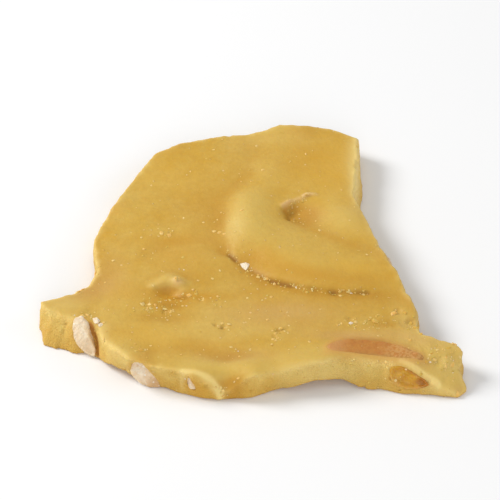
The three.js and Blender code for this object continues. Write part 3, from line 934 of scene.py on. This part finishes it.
def nut_masks(nut, u, v, w):
    """The masks of a nut's finish. The coated and the glazed nut have two or three more."""
    body = nut_body(nut, u, v, w)
    open_face = smooth_step(w, nut.proud + FACE_STARTS[0], nut.proud + FACE_STARTS[1])
    # The front nut is darker towards one end.
    darker_end = smooth_step(-u / nut.size[0], *STAINED_END) if nut.name == "nut_front" else 0 * u
    masks = {
        "ring": near(np.maximum(-body, 0), RING_WIDTH) * open_face,
        "facet": (np.argmax(nut_cuts(nut, u, v, w), axis=0) + 0.5) / CUTS,
        "darker_end": darker_end,
    }
    if nut.finish == "nut_skin":
        reach = np.where(v < 0, 0.75, 0.3) * (1 + ripples(u, v, 0.7, 1.2, 63))
        fringe = near(body, np.maximum(reach, 0.1)) * smooth_step(u, *FRINGE_FROM)
        covered = smooth_step(u + 3 * waves(u / 0.9, v / 0.5, 62), *COVERED_FROM)
        masks["film"] = np.maximum(fringe, covered)
        masks["tip"] = smooth_step(-u, *BARE_TIP)
        masks["hairy"] = smooth_step(u, *HAIRY_FROM)
    if nut.finish == "nut_glazed":
        upper = near(body, 0.7) * smooth_step(-v, 0.2, 1.2) * smooth_step(-u, -3, -1)
        masks["tip"] = np.maximum(smooth_step(waves(u, v, 64) - u, 0.5, 3.5), 0.8 * upper)
        masks["film"] = near(body, 0.9 + 0.4 * waves(u, v, 65)) * smooth_step(v, 0.2, 1.4)
    return masks


def draw_nut(nut):
    """One nut in its place. Its grid reaches a little past its body and its face."""
    long, wide, deep = nut.size
    high = (long * 0.56, wide * 0.56 + nut.bend, min(deep * 1.1, max(nut.proud, 0) + 0.9))
    low = (-high[0], -high[1], -deep * 1.1)
    places, quads = draw_surface(lambda u, v, w: nut_field(nut, u, v, w), low, high, NUT_CELL)
    laid = np.maximum(places @ nut_axes(nut) + nut.place, [-np.inf, -np.inf, NUT_FOOT])
    piece = to_object(nut.name + "_broken", laid, quads)
    for name, values in nut_masks(nut, *places.T).items():
        paint(piece, name, values)
    return piece


nuts = {nut.name: draw_nut(nut) for nut in NUTS}
print("nuts:", sum(len(piece.data.polygons) for piece in nuts.values()), "quads")

# %% [markdown]
# ## Crumbs
#
# Snapping brittle throws out splinters of candy, nut dust and sugar, which roll into every
# crease and stay there. They catch the light as bright specks. A crumb is a small round block
# with its corners pushed about, and it is pressed a little flat, since it lies in a sticky top.
# All crumbs of one kind are joined into one mesh, because hundreds of objects would be slow and
# none of them moves alone.
#
# Most of their places are drawn by weight: every vertex of the slab gets a weight from its masks
# and from a few clusters, and the dice pick vertices by it. The largest crumbs are what the eye
# goes to, so each of those has a place of its own: x, y and radius.

# %% Places of the crumbs
CLUSTERS = [
    (-21.5, -19.5, 5.0, 2.2, 0, 10), (-12.5, -16.0, 6.0, 1.6, -8, 8), (27.0, -24.0, 8.0, 2.0, 8, 7),
    (43.0, -36.0, 4.0, 3.5, 0, 9), (-7.2, -25.4, 1.5, 0.7, 0, 12), (6.4, -27.2, 1.6, 0.8, 30, 10),
    (-6.3, -43.2, 0.8, 1.2, 0, 14), (-20.5, 8.0, 2.2, 1.4, 0, 10), (-38.5, -22.6, 3.0, 1.0, -10, 20),
    (-25.0, -34.5, 2.2, 2.6, 30, 8), (11.5, 18.6, 4.0, 0.8, 33, 16), (36.8, -42.0, 2.6, 1.4, -20, 30),
    (-37.0, -5.0, 1.5, 5.0, 20, 6), (24.5, -38.0, 4.0, 1.4, 0, 3), (0.0, -24.0, 16.0, 6.0, 0, 0.8),
]
PLACED = [
    (-39.3, -21.9, 0.7), (-37.9, -21.5, 0.6), (-38.6, -22.4, 0.5), (-17.7, -10.9, 0.65),
    (32.6, -21.0, 0.9), (44.0, -36.2, 0.8), (45.3, -37.4, 0.6), (-34.8, -31.0, 0.6),
    (-36.2, -32.0, 0.5), (-37.1, -4.0, 0.7),
    (-41.6, -11.6, 0.7), (-40.4, -11.0, 0.6), (-32.9, -2.0, 0.45), (-34.5, -9.8, 0.35),
    (-25.4, -18.1, 0.65), (-23.9, -17.9, 0.5), (-22.5, -18.3, 0.4), (-20.2, -19.4, 0.6),
    (-18.8, -20.2, 0.5), (-12.2, -16.0, 0.55), (-14.7, -14.8, 0.55), (-13.8, -13.0, 0.4),
    (-17.6, -26.7, 0.4), (-23.2, -32.4, 0.35), (-17.3, -11.1, 0.55), (-23.2, -12.1, 0.5),
    (-9.3, -9.0, 0.45),
    (-7.6, -6.3, 0.35), (-26.5, 6.0, 0.5), (-25.8, 1.8, 0.45), (-21.7, 7.5, 0.8), (-19.8, 6.7, 0.6),
    (-20.0, 9.2, 0.45), (-16.5, 13.2, 0.4), (-11.7, 11.4, 0.35), (-9.0, 7.8, 0.6), (-7.8, 7.1, 0.6),
    (-6.6, 6.1, 0.5), (-2.5, 13.0, 0.5), (-2.6, 27.0, 0.4), (2.7, 30.9, 0.55), (13.4, 37.8, 0.5),
    (9.4, 17.6, 0.4), (13.8, 20.6, 0.6), (15.2, 4.7, 0.3), (27.2, -2.0, 0.35), (20.3, -2.0, 0.25),
    (0.0, -7.6, 0.4), (1.5, -8.3, 0.45), (3.4, -9.2, 0.55), (5.2, -10.8, 0.55),
    (12.1, -13.4, 0.35), (20.4, -15.2, 0.5), (26.0, -14.6, 0.4), (4.5, -15.6, 0.4), (-1.1, -15.7, 0.35),
    (-6.9, -24.5, 0.5), (-6.3, -25.7, 0.45), (-5.3, -24.8, 0.5), (-7.6, -25.9, 0.4),
    (5.2, -28.3, 0.45), (4.9, -30.2, 0.6), (5.7, -30.0, 0.4), (6.4, -26.5, 0.55), (7.4, -27.4, 0.5),
    (8.2, -28.3, 0.4), (-4.9, -32.5, 0.45), (-0.4, -33.5, 0.35), (8.4, -34.1, 0.35), (-7.0, -42.8, 0.45),
    (-6.4, -43.3, 0.45), (-6.6, -43.8, 0.4), (-3.1, -42.0, 0.4), (23.8, -24.2, 0.55),
    (20.5, -24.8, 0.35), (33.6, -20.6, 0.6), (29.8, -31.6, 0.3),
    (25.6, -27.0, 0.3), (28.8, -29.2, 0.3), (30.1, -35.1, 0.3), (31.6, -35.7, 0.3), (34.0, -34.6, 0.35),
    (35.5, -33.4, 0.3), (30.3, -37.7, 0.5), (33.2, -36.4, 0.4), (41.4, -36.6, 0.7),
    (30.6, -38.6, 0.4), (31.6, -37.9, 0.35), (38.6, -41.6, 0.4), (39.6, -41.0, 0.35),
    (43.8, -38.0, 0.7), (40.2, -35.6, 0.4), (45.9, -30.9, 0.6), (46.5, -31.6, 0.5), (46.3, -42.6, 0.7),
]
NUT_BITS = [(-36.0, -23.8, 1.4), (-34.8, -25.0, 0.9), (-1.6, -4.6, 0.95), (22.7, -24.5, 0.9)]
LUMPS = [
    (35.4, -20.7, 1.0), (36.6, -23.5, 0.9), (37.4, -25.8, 0.8), (35.9, -26.6, 0.6), (28.2, -23.7, 0.9),
    (26.9, -23.4, 0.6), (-25.2, -34.2, 0.7), (-26.4, -35.0, 0.5), (6.8, -26.6, 0.5), (-7.6, -26.2, 0.4),
    (38.6, -28.6, 0.6), (44.6, -33.4, 0.6),
]
print("crumbs with a place of their own:", len(PLACED) + len(NUT_BITS) + len(LUMPS))

# %% Where the other crumbs gather
EVERYWHERE = 0.09
IN_CRACK = 9
IN_CREASE = 1.5
ON_WALL = 0.12
ON_BRUISED_WALL = 0.3
ON_NUT = 0.02
OFF_NUT = 0.4
LEVEL_ENOUGH = (0.35, 0.8)
CRACK_REACH = 0.7
CREASE_FULL = 0.15
slab.data.update()
normals = np.empty(len(candy_points) * 3)
slab.data.vertices.foreach_get("normal", normals)
normals = normals.reshape(-1, 3)


def crumb_weights():
    """How likely a crumb is to lie on each vertex of the slab."""
    flat = smooth_step(normals[:, 2], *LEVEL_ENOUGH)
    in_crack = near(beside(SCARP, x, y)[0], CRACK_REACH)
    weight = EVERYWHERE + bells(x, y, CLUSTERS) + IN_CRACK * in_crack
    weight = weight + IN_CREASE * np.clip(crease / CREASE_FULL, 0, 1)
    weight = weight * flat * off_base + ON_WALL * on_wall + ON_BRUISED_WALL * bruised(x, y) * on_wall
    return np.where(body_gap > OFF_NUT, weight, ON_NUT)


weight = crumb_weights()
CRUMB_SHARES = weight / weight.sum()
print("the likeliest vertex has", round(float(CRUMB_SHARES.max() * len(weight))), "times its share")

# %% The shape of a crumb
PRESSED = 0.5
PUSHED = (0.6, 1.3)
EDGE = 2


def round_block():
    """The twelve corners of an icosahedron and its twenty faces, all facing out."""
    golden = (1 + math.sqrt(5)) / 2
    pairs = [(a, b) for a in (-1, 1) for b in (-golden, golden)]
    corners = [(0, a, b) for a, b in pairs] + [(a, b, 0) for a, b in pairs]
    corners = np.array(corners + [(b, 0, a) for a, b in pairs])
    faces = []
    for trio in itertools.combinations(range(len(corners)), 3):
        a, b, c = corners[list(trio)]
        if max(math.dist(a, b), math.dist(b, c), math.dist(a, c)) < EDGE + 0.1:
            faces.append(trio if np.cross(b - a, c - a).dot(a) > 0 else trio[::-1])
    return corners / math.hypot(1, golden), np.array(faces)


BLOCK_CORNERS, BLOCK_FACES = round_block()


def lay_crumb(radius, place, up, dice):
    """The corners of one crumb, pushed about, turned at random and pressed into the slab."""
    corners = BLOCK_CORNERS * dice.uniform(*PUSHED, (len(BLOCK_CORNERS), 1))
    corners = corners * dice.uniform(*PUSHED, 3)
    turn, _ = np.linalg.qr(dice.normal(size=(3, 3)))
    turn = turn * np.sign(np.linalg.det(turn))
    corners = corners @ turn * radius
    return corners - PRESSED * np.outer(corners @ up, up) + place


print("a crumb has", len(BLOCK_CORNERS), "corners and", len(BLOCK_FACES), "faces")

# %% Scatter the crumbs
SUNK = 0.1
SIZE_SPREAD = 0.3
SIZE_LIMITS = (0.19, 0.5)
DROP_HEIGHT = 20
slab_faces = BVHTree.FromPolygons(candy_points.tolist(), candy_quads.tolist())
dice = np.random.default_rng(7)


def drawn_places(count):
    """Places picked by weight, and the way up there."""
    picked = dice.choice(len(CRUMB_SHARES), count, p=CRUMB_SHARES)
    return candy_points[picked], normals[picked]


def dropped(spots):
    """Where crumbs dropped straight down come to rest, or on the rim where they would miss."""
    hits = []
    for sx, sy, _ in spots:
        hit = slab_faces.ray_cast(Vector((sx, sy, DROP_HEIGHT)), Vector((0, 0, -1)))
        hits.append(hit if hit[0] else slab_faces.find_nearest(Vector((sx, sy, RIM_LEVEL))))
    return np.array([hit[0] for hit in hits]), np.array([hit[1] for hit in hits])


def strewn(name, count, usual, spots):
    """One mesh of many small crumbs by weight and of the large ones at their own spots."""
    sizes = np.clip(dice.lognormal(math.log(usual), SIZE_SPREAD, count), *SIZE_LIMITS)
    sizes = np.concatenate([sizes, [spot[2] for spot in spots]])
    places, ups = (np.concatenate(pair) for pair in zip(drawn_places(count), dropped(spots)))
    places = places - ups * sizes[:, None] * SUNK
    points = [lay_crumb(*crumb, dice) for crumb in zip(sizes, places, ups)]
    faces = [BLOCK_FACES + len(BLOCK_CORNERS) * k for k in range(len(points))]
    points = np.maximum(np.concatenate(points), [-np.inf, -np.inf, 0])
    return to_object(name, points, np.concatenate(faces), smooth=False)


pale_crumbs = strewn("crumbs_sugar", 300, 0.27, PLACED)
gold_crumbs = strewn("crumbs_candy", 300, 0.27, LUMPS)
nut_crumbs = strewn("crumbs_nut", 24, 0.22, NUT_BITS)
crumb_pieces = (pale_crumbs, gold_crumbs, nut_crumbs)
print("crumbs:", sum(len(piece.data.polygons) for piece in crumb_pieces) // len(BLOCK_FACES))

# %% [markdown]
# ## Shader helpers
#
# A material is a small graph. Three helpers keep the graphs short to read: `add` makes a node,
# sets its fields and joins its inputs in one go, `maths` does so for sums, and `new_group` starts
# a node group with named inputs and one output. An effect that several materials need is such a
# group, made once: change it there and every finish follows. The groups hand out only masks and
# heights. The shaders themselves stay in the materials.

# %% Helpers for nodes
def add(tree, kind, inputs=None, **fields):
    """Adds a shader node, sets its fields, and joins or fills its inputs."""
    made = tree.nodes.new("ShaderNode" + kind)
    for field, value in fields.items():
        setattr(made, field, value)
    for socket, value in (inputs or {}).items():
        if isinstance(value, bpy.types.NodeSocket):
            tree.links.new(value, made.inputs[socket])
        else:
            made.inputs[socket].default_value = value
    return made


def maths(tree, operation, *values, clamp=False):
    """One sum on numbers that change over the surface."""
    values = dict(enumerate(values))
    return add(tree, "Math", values, operation=operation, use_clamp=clamp).outputs[0]


def new_group(name, output, **inputs):
    """A node group with number inputs, their start values, and one output."""
    group = bpy.data.node_groups.new(name, "ShaderNodeTree")
    for label, value in inputs.items():
        socket = group.interface.new_socket(label, in_out="INPUT", socket_type="NodeSocketFloat")
        socket.default_value = value
    group.interface.new_socket(output, in_out="OUTPUT", socket_type="NodeSocketFloat")
    return group, group.nodes.new("NodeGroupInput").outputs, group.nodes.new("NodeGroupOutput").inputs


def scaled_place(group, size):
    """The place on the object, counted in units of a size given in millimetres."""
    per_size = maths(group, "DIVIDE", 1 / MM, size)
    place = add(group, "TexCoord").outputs["Object"]
    return add(group, "VectorMath", {0: place, "Scale": per_size}, operation="SCALE").outputs[0]


print("node groups so far:", len(bpy.data.node_groups))

# %% [markdown]
# ## Three shared effects
#
# - **Patches**: soft blotches. Syrup never has one colour, because it cools and takes up air
#   unevenly. Noise with raised contrast does it, and the Size says how wide a blotch is.
# - **Specks**: small round spots, each in its own cell of a Voronoi pattern. Only a share of the
#   cells has one. They serve as sugar grains, and as dark specks of painted shade in pinholes.
# - **Grain**: a height for bumps, from coarse lumps down to fine grit, for a broken face.

# %% Group: patches
patches, start, end = new_group("patches", "Mask", Size=8, Detail=3, Contrast=1.5)
noise = add(patches, "TexNoise", {
    "Vector": scaled_place(patches, start["Size"]), "Scale": 1, "Detail": start["Detail"],
    "Roughness": 0.55,
})
centred = maths(patches, "SUBTRACT", noise.outputs["Fac"], 0.5)
spread = maths(patches, "MULTIPLY_ADD", centred, start["Contrast"], 0.5, clamp=True)
patches.links.new(spread, end["Mask"])
print("patches:", len(patches.nodes), "nodes")

# %% Group: specks
specks, start, end = new_group("specks", "Mask", Size=1, Share=0.2, Radius=0.25)
cells = add(specks, "TexVoronoi", {
    "Vector": scaled_place(specks, start["Size"]), "Scale": 1, "Randomness": 1,
})
lot = add(specks, "SeparateColor", {0: cells.outputs["Color"]})
has_spot = maths(specks, "LESS_THAN", lot.outputs[0], start["Share"])
spot = add(specks, "MapRange", {
    "Value": cells.outputs["Distance"],
    "From Min": maths(specks, "MULTIPLY", start["Radius"], lot.outputs[1]),
    "From Max": start["Radius"],
    "To Min": 1,
    "To Max": 0,
}, interpolation_type="SMOOTHSTEP")
specks.links.new(maths(specks, "MULTIPLY", spot.outputs[0], has_spot), end["Mask"])
print("specks:", len(specks.nodes), "nodes")

# %% Group: grain
grain, start, end = new_group("grain", "Height", Size=1, Grit=0.5)
place = scaled_place(grain, start["Size"])
lumpy = add(grain, "TexNoise", {"Vector": place, "Scale": 1, "Detail": 5, "Roughness": 0.62})
facets = add(grain, "TexVoronoi", {"Vector": place, "Scale": 2.6, "Randomness": 1})
height = maths(
    grain, "MULTIPLY_ADD", facets.outputs["Distance"], start["Grit"], lumpy.outputs["Fac"])
grain.links.new(height, end["Height"])
print("grain:", len(grain.nodes), "nodes")

# %% [markdown]
# ## Finish helpers
#
# Every finish lays colours over one another by masks and ends in one Principled shader, so the
# steps that repeat are wrapped up here. `layered` takes the colours as a list, one row a layer,
# so the order in which they cover each other can be read from top to bottom. Colours are written
# as they look on a screen, from 0 to 255, and turned into the linear numbers that Cycles counts
# in.

# %% Helpers for finishes
def linear(red, green, blue):
    """A screen colour as linear light, with full alpha."""
    shares = [v / 255 for v in (red, green, blue)]
    return (*[s / 12.92 if s <= 0.04045 else ((s + 0.055) / 1.055) ** 2.4 for s in shares], 1)


def effect(tree, group, **inputs):
    """Uses one of the shared groups in a material."""
    made = tree.nodes.new("ShaderNodeGroup")
    made.node_tree = group
    for label, value in inputs.items():
        made.inputs[label].default_value = value
    return made.outputs[0]


def mask(tree, name):
    """A mask that was painted on the mesh."""
    return add(tree, "Attribute", attribute_name=name).outputs["Fac"]


def scaled(tree, value, factor):
    return maths(tree, "MULTIPLY", value, factor, clamp=True)


def blend(tree, below, above, amount):
    """Lays one colour over another by a mask."""
    return add(tree, "Mix", {0: amount, 6: below, 7: above}, data_type="RGBA").outputs[2]


def two_tones(tree, one, other, amount):
    """Two screen colours, blended by a mask."""
    return blend(tree, linear(*one), linear(*other), amount)


def layered(tree, colour, layers):
    """Lays colours over one another. A layer is a colour, a mask or its name, and a strength."""
    for above, amount, strength in layers:
        if isinstance(above, tuple):
            above = linear(*above)
        if isinstance(amount, str):
            amount = mask(tree, amount)
        colour = blend(tree, colour, above, scaled(tree, amount, strength))
    return colour


def blended(tree, low, high, amount):
    """A number that runs from low to high with a mask."""
    return add(tree, "MapRange", {"Value": amount, "To Min": low, "To Max": high}).outputs[0]


def bump(tree, height, rise, below=None, strength=1):
    """A normal from a height that is worth this many millimetres at full strength."""
    inputs = {"Height": height, "Distance": rise * MM, "Strength": strength}
    if below:
        inputs["Normal"] = below
    return add(tree, "Bump", inputs).outputs[0]


def new_material(name):
    material = bpy.data.materials.new(name)
    material.use_nodes = True
    material.node_tree.nodes.clear()
    return material, material.node_tree


def finish_shader(tree, colour, roughness, normal, glow=None, **sockets):
    """The shader that ends each finish. Glow is the share of light that goes in, how far each of
    red, green and blue spreads against the others, and a reach in millimetres."""
    inputs = {"Base Color": colour, "Roughness": roughness, "Normal": normal}
    if glow:
        share, spread, reach = glow
        inputs["Subsurface Weight"] = share
        inputs["Subsurface Radius"] = spread
        inputs["Subsurface Scale"] = reach * MM
    inputs.update({label.replace("_", " "): value for label, value in sockets.items()})
    shader = add(tree, "BsdfPrincipled", inputs)
    out = add(tree, "OutputMaterial")
    tree.links.new(shader.outputs[0], out.inputs["Surface"])


print("amber in linear light:", [round(v, 3) for v in linear(213, 171, 85)])

# %% [markdown]
# ## Candy
#
# Worked sugar is opaque gold. The skin of the top is satin and slightly tan, it turns amber in
# hollows where syrup gathered and where shade is painted in, and creamy where it was stretched
# thin over a swelling and where a highlight is painted in. The broken wall shows the aerated
# inside: paler, yellower and grainy. The rim between them is the palest line of all, since light
# passes through its thin edge, and that light is painted in as a highlight.
#
# Candy lets light in a little way. Subsurface scattering with a radius near one millimetre
# softens the small shadows, as it does on the real thing. The colours have to carry the look by
# themselves as well, so they are laid in layers, each with its own mask.

# %% Candy finish: the colour of the top
candy_material, tree = new_material("candy_finish")
CREAM = (218, 190, 104)
SYRUP_AND_SHADE = (183, 130, 40)
wide_patches = effect(tree, patches, Size=14, Detail=2, Contrast=3.0)
small_patches = effect(tree, patches, Size=3.2, Detail=4, Contrast=2.4)
fine_patches = effect(tree, patches, Size=1.1, Detail=3, Contrast=3.4)
colour = layered(tree, two_tones(tree, (209, 170, 79), (203, 157, 54), wide_patches), [
    (CREAM, small_patches, 0.28),
    ((188, 148, 66), fine_patches, 0.34),
    ((201, 159, 97), "blush", 0.75),
    # Darker syrup and painted shade in basins and creases.
    (SYRUP_AND_SHADE, "basin", 0.4),
    (SYRUP_AND_SHADE, "crease", 0.5),
    # Thin candy and a painted highlight on raised places.
    (CREAM, "raised", 0.4),
])
print("top of the candy:", len(tree.nodes), "nodes so far")

# %% Candy finish: walls, tints, rim, stains, and painted light and shade
wall_colour = two_tones(tree, (225, 193, 107), (210, 168, 78), small_patches)
wall_colour = layered(tree, wall_colour, [((203, 154, 56), "low", 0.5)])
base_colour = two_tones(tree, (212, 164, 72), (196, 142, 54), small_patches)
colour = layered(tree, colour, [
    (wall_colour, "wall", 1),
    ((216, 170, 66), "gold", 0.8),
    # Amber is thick syrup and painted shade; cream is thin candy and painted highlights.
    ((198, 145, 46), "amber", 0.75),
    ((220, 190, 112), "cream", 0.65),
    (base_colour, "base", 0.9),
    # Pale thin candy at the rim, with a painted highlight.
    ((241, 213, 134), "rim", 0.9),
    ((208, 155, 72), "nut_near", 0.3),
    ((204, 150, 84), "stain", 0.5),
    ((172, 106, 36), "torn", 0.85),
    # Painted shade in the crack, beside the top nut and in small hollows.
    ((146, 98, 34), "line", 0.85),
    # Pale torn lip, and a painted highlight on the bump's crest.
    ((234, 196, 136), "lip", 0.85),
])
print("all faces of the candy:", len(tree.nodes), "nodes so far")

# %% Candy finish: spots, grain and shader
olive_grit = effect(tree, specks, Size=0.9, Share=0.35, Radius=0.3)
sugar = effect(tree, specks, Size=1.7, Share=0.2, Radius=0.17)
# Dark specks of painted shade stand for pinholes on the bare faces.
pinhole_shade = effect(tree, specks, Size=1.1, Share=0.12, Radius=0.17)
bare = maths(tree, "MAXIMUM", mask(tree, "wall"), mask(tree, "base"))
colour = layered(tree, colour, [
    ((168, 126, 42), scaled(tree, olive_grit, mask(tree, "gritty")), 0.5),
    ((240, 206, 140), sugar, 0.6),
    ((176, 120, 44), scaled(tree, pinhole_shade, bare), 0.5),
])
normal = bump(tree, effect(tree, grain, Size=2.4, Grit=0.15), 0.22)
wall_grain = effect(tree, grain, Size=0.9, Grit=0.6)
normal = bump(tree, wall_grain, 0.28, normal, mask(tree, "wall"))
bruise_grain = effect(tree, grain, Size=1.8, Grit=0.3)
normal = bump(tree, bruise_grain, 0.2, normal, mask(tree, "bruised"))
normal = bump(tree, sugar, 0.14, normal)
finish_shader(
    tree, colour, blended(tree, 0.45, 0.58, mask(tree, "wall")), normal,
    glow=(0.15, (1.0, 0.65, 0.25), 1.2), IOR=1.49, Specular_IOR_Level=0.22,
)
slab.data.materials.append(candy_material)
print("candy:", len(tree.nodes), "nodes")

# %% [markdown]
# ## Nut finishes
#
# The inside of a nut is creamy white and matt, with a warmer ring where its skin and the syrup
# are. Each facet of the break gets a slightly different tone, which is painted light and shade.
# The nut in the top kept its roasted skin under a thin film of candy, which hides more of it
# towards the edge. The amber one lies deeper, behind clear syrup, and shines most.

# %% Pale nuts
pale_material, tree = new_material("nut_pale_finish")
small_patches = effect(tree, patches, Size=1.5, Detail=4, Contrast=4.0)
dust = effect(tree, specks, Size=1.1, Share=0.4, Radius=0.26)
# Painted light and shade: each facet of the break gets a lighter or darker tone.
facet_light_and_shade = two_tones(tree, (245, 229, 202), (236, 210, 174), mask(tree, "facet"))
colour = layered(tree, facet_light_and_shade, [
    ((214, 178, 128), small_patches, 0.45),
    ((226, 186, 120), "ring", 0.6),
    # Darker towards one end of the front nut.
    ((206, 160, 102), "darker_end", 0.8),
    ((250, 240, 226), dust, 0.65),
])
torn_grain = effect(tree, grain, Size=1.1, Grit=0.5)
finish_shader(
    tree, colour, blended(tree, 0.5, 0.7, small_patches), bump(tree, torn_grain, 0.28),
    glow=(0.2, (1.0, 0.75, 0.5), 0.8),
)
print("pale nut:", len(tree.nodes), "nodes")

# %% Nut in its skin
skin_material, tree = new_material("nut_skin_finish")
small_patches = effect(tree, patches, Size=2.0, Detail=4, Contrast=3.0)
sugar = effect(tree, specks, Size=0.9, Share=0.3, Radius=0.2)
hairs = effect(tree, patches, Size=0.7, Detail=1, Contrast=9)
film_colour = two_tones(tree, (174, 120, 54), (188, 139, 66), small_patches)
colour = layered(tree, two_tones(tree, (196, 134, 56), (182, 114, 42), small_patches), [
    ((200, 142, 76), "tip", 1),
    (film_colour, "film", 0.95),
    ((224, 182, 118), sugar, 0.55),
    ((214, 166, 100), scaled(tree, hairs, mask(tree, "hairy")), 0.5),
])
wrinkles = effect(tree, grain, Size=1.8, Grit=0.15)
finish_shader(
    tree, colour, blended(tree, 0.4, 0.55, small_patches), bump(tree, wrinkles, 0.26),
    glow=(0.15, (1.0, 0.5, 0.2), 1.0),
)
print("skin nut:", len(tree.nodes), "nodes")

# %% Nut behind syrup
glazed_material, tree = new_material("nut_glazed_finish")
small_patches = effect(tree, patches, Size=1.7, Detail=3, Contrast=3.2)
sugar = effect(tree, specks, Size=1.3, Share=0.35, Radius=0.28)
colour = layered(tree, two_tones(tree, (214, 162, 47), (196, 138, 34), small_patches), [
    ((168, 102, 34), "tip", 0.8),
    ((208, 160, 76), "film", 0.8),
    ((244, 214, 156), sugar, 0.85),
])
dimples = effect(tree, grain, Size=1.3, Grit=0.3)
finish_shader(
    tree, colour, blended(tree, 0.16, 0.34, small_patches), bump(tree, dimples, 0.25),
    glow=(0.25, (1.0, 0.5, 0.15), 1.2), Specular_IOR_Level=0.35,
)
print("glazed nut:", len(tree.nodes), "nodes")

# %% [markdown]
# ## Crumb finishes
#
# Sugar crumbs and candy splinters differ only in colour, in how fine their blotches are and in
# gloss, so one function makes both. A crumb is so small that light passes most of the way
# through it, which is why half of its light goes through the inside. The bits of nut take the
# finish of the pale nuts.

# %% Crumb finishes
def crumb_finish(name, tones, blotches, gloss, spread):
    """A finish for crumbs, from two screen colours, blotches, a roughness range and a spread."""
    material, tree = new_material(name)
    blotched = effect(tree, patches, **blotches)
    grit = effect(tree, grain, Size=0.3, Grit=0.4)
    finish_shader(
        tree, two_tones(tree, *tones, blotched), blended(tree, *gloss, blotched),
        bump(tree, grit, 0.05), glow=(0.5, spread, 0.7), Specular_IOR_Level=0.2,
    )
    return material


sugar_material = crumb_finish(
    "sugar_finish", ((242, 204, 130), (230, 180, 96)), {"Size": 2.2, "Detail": 3, "Contrast": 6},
    (0.35, 0.55), (1.0, 0.8, 0.5),
)
splinter_material = crumb_finish(
    "splinter_finish", ((224, 186, 98), (210, 164, 72)), {"Size": 0.9, "Detail": 2, "Contrast": 3},
    (0.3, 0.5), (1.0, 0.6, 0.2),
)
pale_crumbs.data.materials.append(sugar_material)
gold_crumbs.data.materials.append(splinter_material)
nut_crumbs.data.materials.append(pale_material)
print("materials:", len(bpy.data.materials))

# %% [markdown]
# ## Tie the pieces to the frame
#
# Every piece rides on the one body of this object, and stands for the CAD node whose place it
# takes. The crumbs stand for no node, so they only ride on the body.

# %% Ride and replace, and give each nut its finish
NUT_MATERIALS = {"nut_pale": pale_material, "nut_skin": skin_material, "nut_glazed": glazed_material}
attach(slab, "root")
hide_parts("candy")
for name, finish, *_ in NUTS:
    nuts[name].data.materials.append(NUT_MATERIALS[finish])
    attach(nuts[name], "root")
    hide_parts(name)
for crumbs, finish in zip(crumb_pieces, ("candy", "candy", "nut_pale")):
    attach(crumbs, "root")
print("pieces:", 1 + len(nuts) + len(crumb_pieces))

# %% [markdown]
# ## Floor, light and camera
#
# Food is shot on white with large soft lights, so that shadows stay open and the candy glows. A
# bright even world does most of the work. A large key from the upper left and slightly behind
# draws the folds, a low front fill keeps the broken front wall bright, and a weaker one at the
# right opens the shadows on that side. The camera looks down at 40 degrees through a long lens,
# which keeps the slab's proportions.

# %% Floor
FLOOR_SIZE = 3
PAPER = (0.91, 0.91, 0.91, 1)
BRIGHT_PAPER = (0.93, 0.93, 0.93, 1)
bpy.ops.mesh.primitive_plane_add(size=FLOOR_SIZE, location=(0, 0, 0))
floor = bpy.context.object
floor.name = "floor"
floor_material, tree = new_material("floor_finish")
tone = effect(tree, patches, Size=60, Detail=1, Contrast=0.5)
finish_shader(tree, blend(tree, PAPER, BRIGHT_PAPER, tone), 0.7, bump(tree, tone, 0.001))
floor.data.materials.append(floor_material)
print("floor:", tuple(round(v, 2) for v in floor.dimensions))

# %% Light and camera
CENTRE = Vector((0, 0, 0.005))
LAMPS = [
    ("key", (-0.78, 0.30, 0.62), 0.46, 8.5),
    ("front_fill", (0.10, -0.9, 0.40), 0.7, 2.8),
    ("right_fill", (0.95, 0.0, 0.34), 0.6, 1.8),
]
WORLD_STRENGTH = 0.475
ELEVATION = math.radians(40)
CAMERA_DISTANCE = 0.6
SENSOR = 36
LENS = 181


def aim(item, place):
    """Puts a lamp or a camera at a place and turns it to the slab."""
    item.location = place
    item.rotation_euler = (CENTRE - item.location).to_track_quat("-Z", "Y").to_euler()
    bpy.context.scene.collection.objects.link(item)


for name, place, size, power in LAMPS:
    lamp = bpy.data.lights.new(name, "AREA")
    lamp.shape = "DISK"
    lamp.size = size
    lamp.energy = power
    aim(bpy.data.objects.new(name, lamp), Vector(place))

world = bpy.data.worlds.new("studio")
world.use_nodes = True
world.node_tree.nodes["Background"].inputs["Color"].default_value = (1, 1, 1, 1)
world.node_tree.nodes["Background"].inputs["Strength"].default_value = WORLD_STRENGTH
bpy.context.scene.world = world

lens = bpy.data.cameras.new("camera")
lens.sensor_width = SENSOR
lens.lens = LENS
camera = bpy.data.objects.new("camera", lens)
reach = Vector((0, -math.cos(ELEVATION), math.sin(ELEVATION))) * CAMERA_DISTANCE
aim(camera, CENTRE + reach)
bpy.context.scene.camera = camera
bpy.context.scene.view_settings.view_transform = "Standard"
print("frame width at the slab:", round(SENSOR / LENS * CAMERA_DISTANCE / MM), "mm")
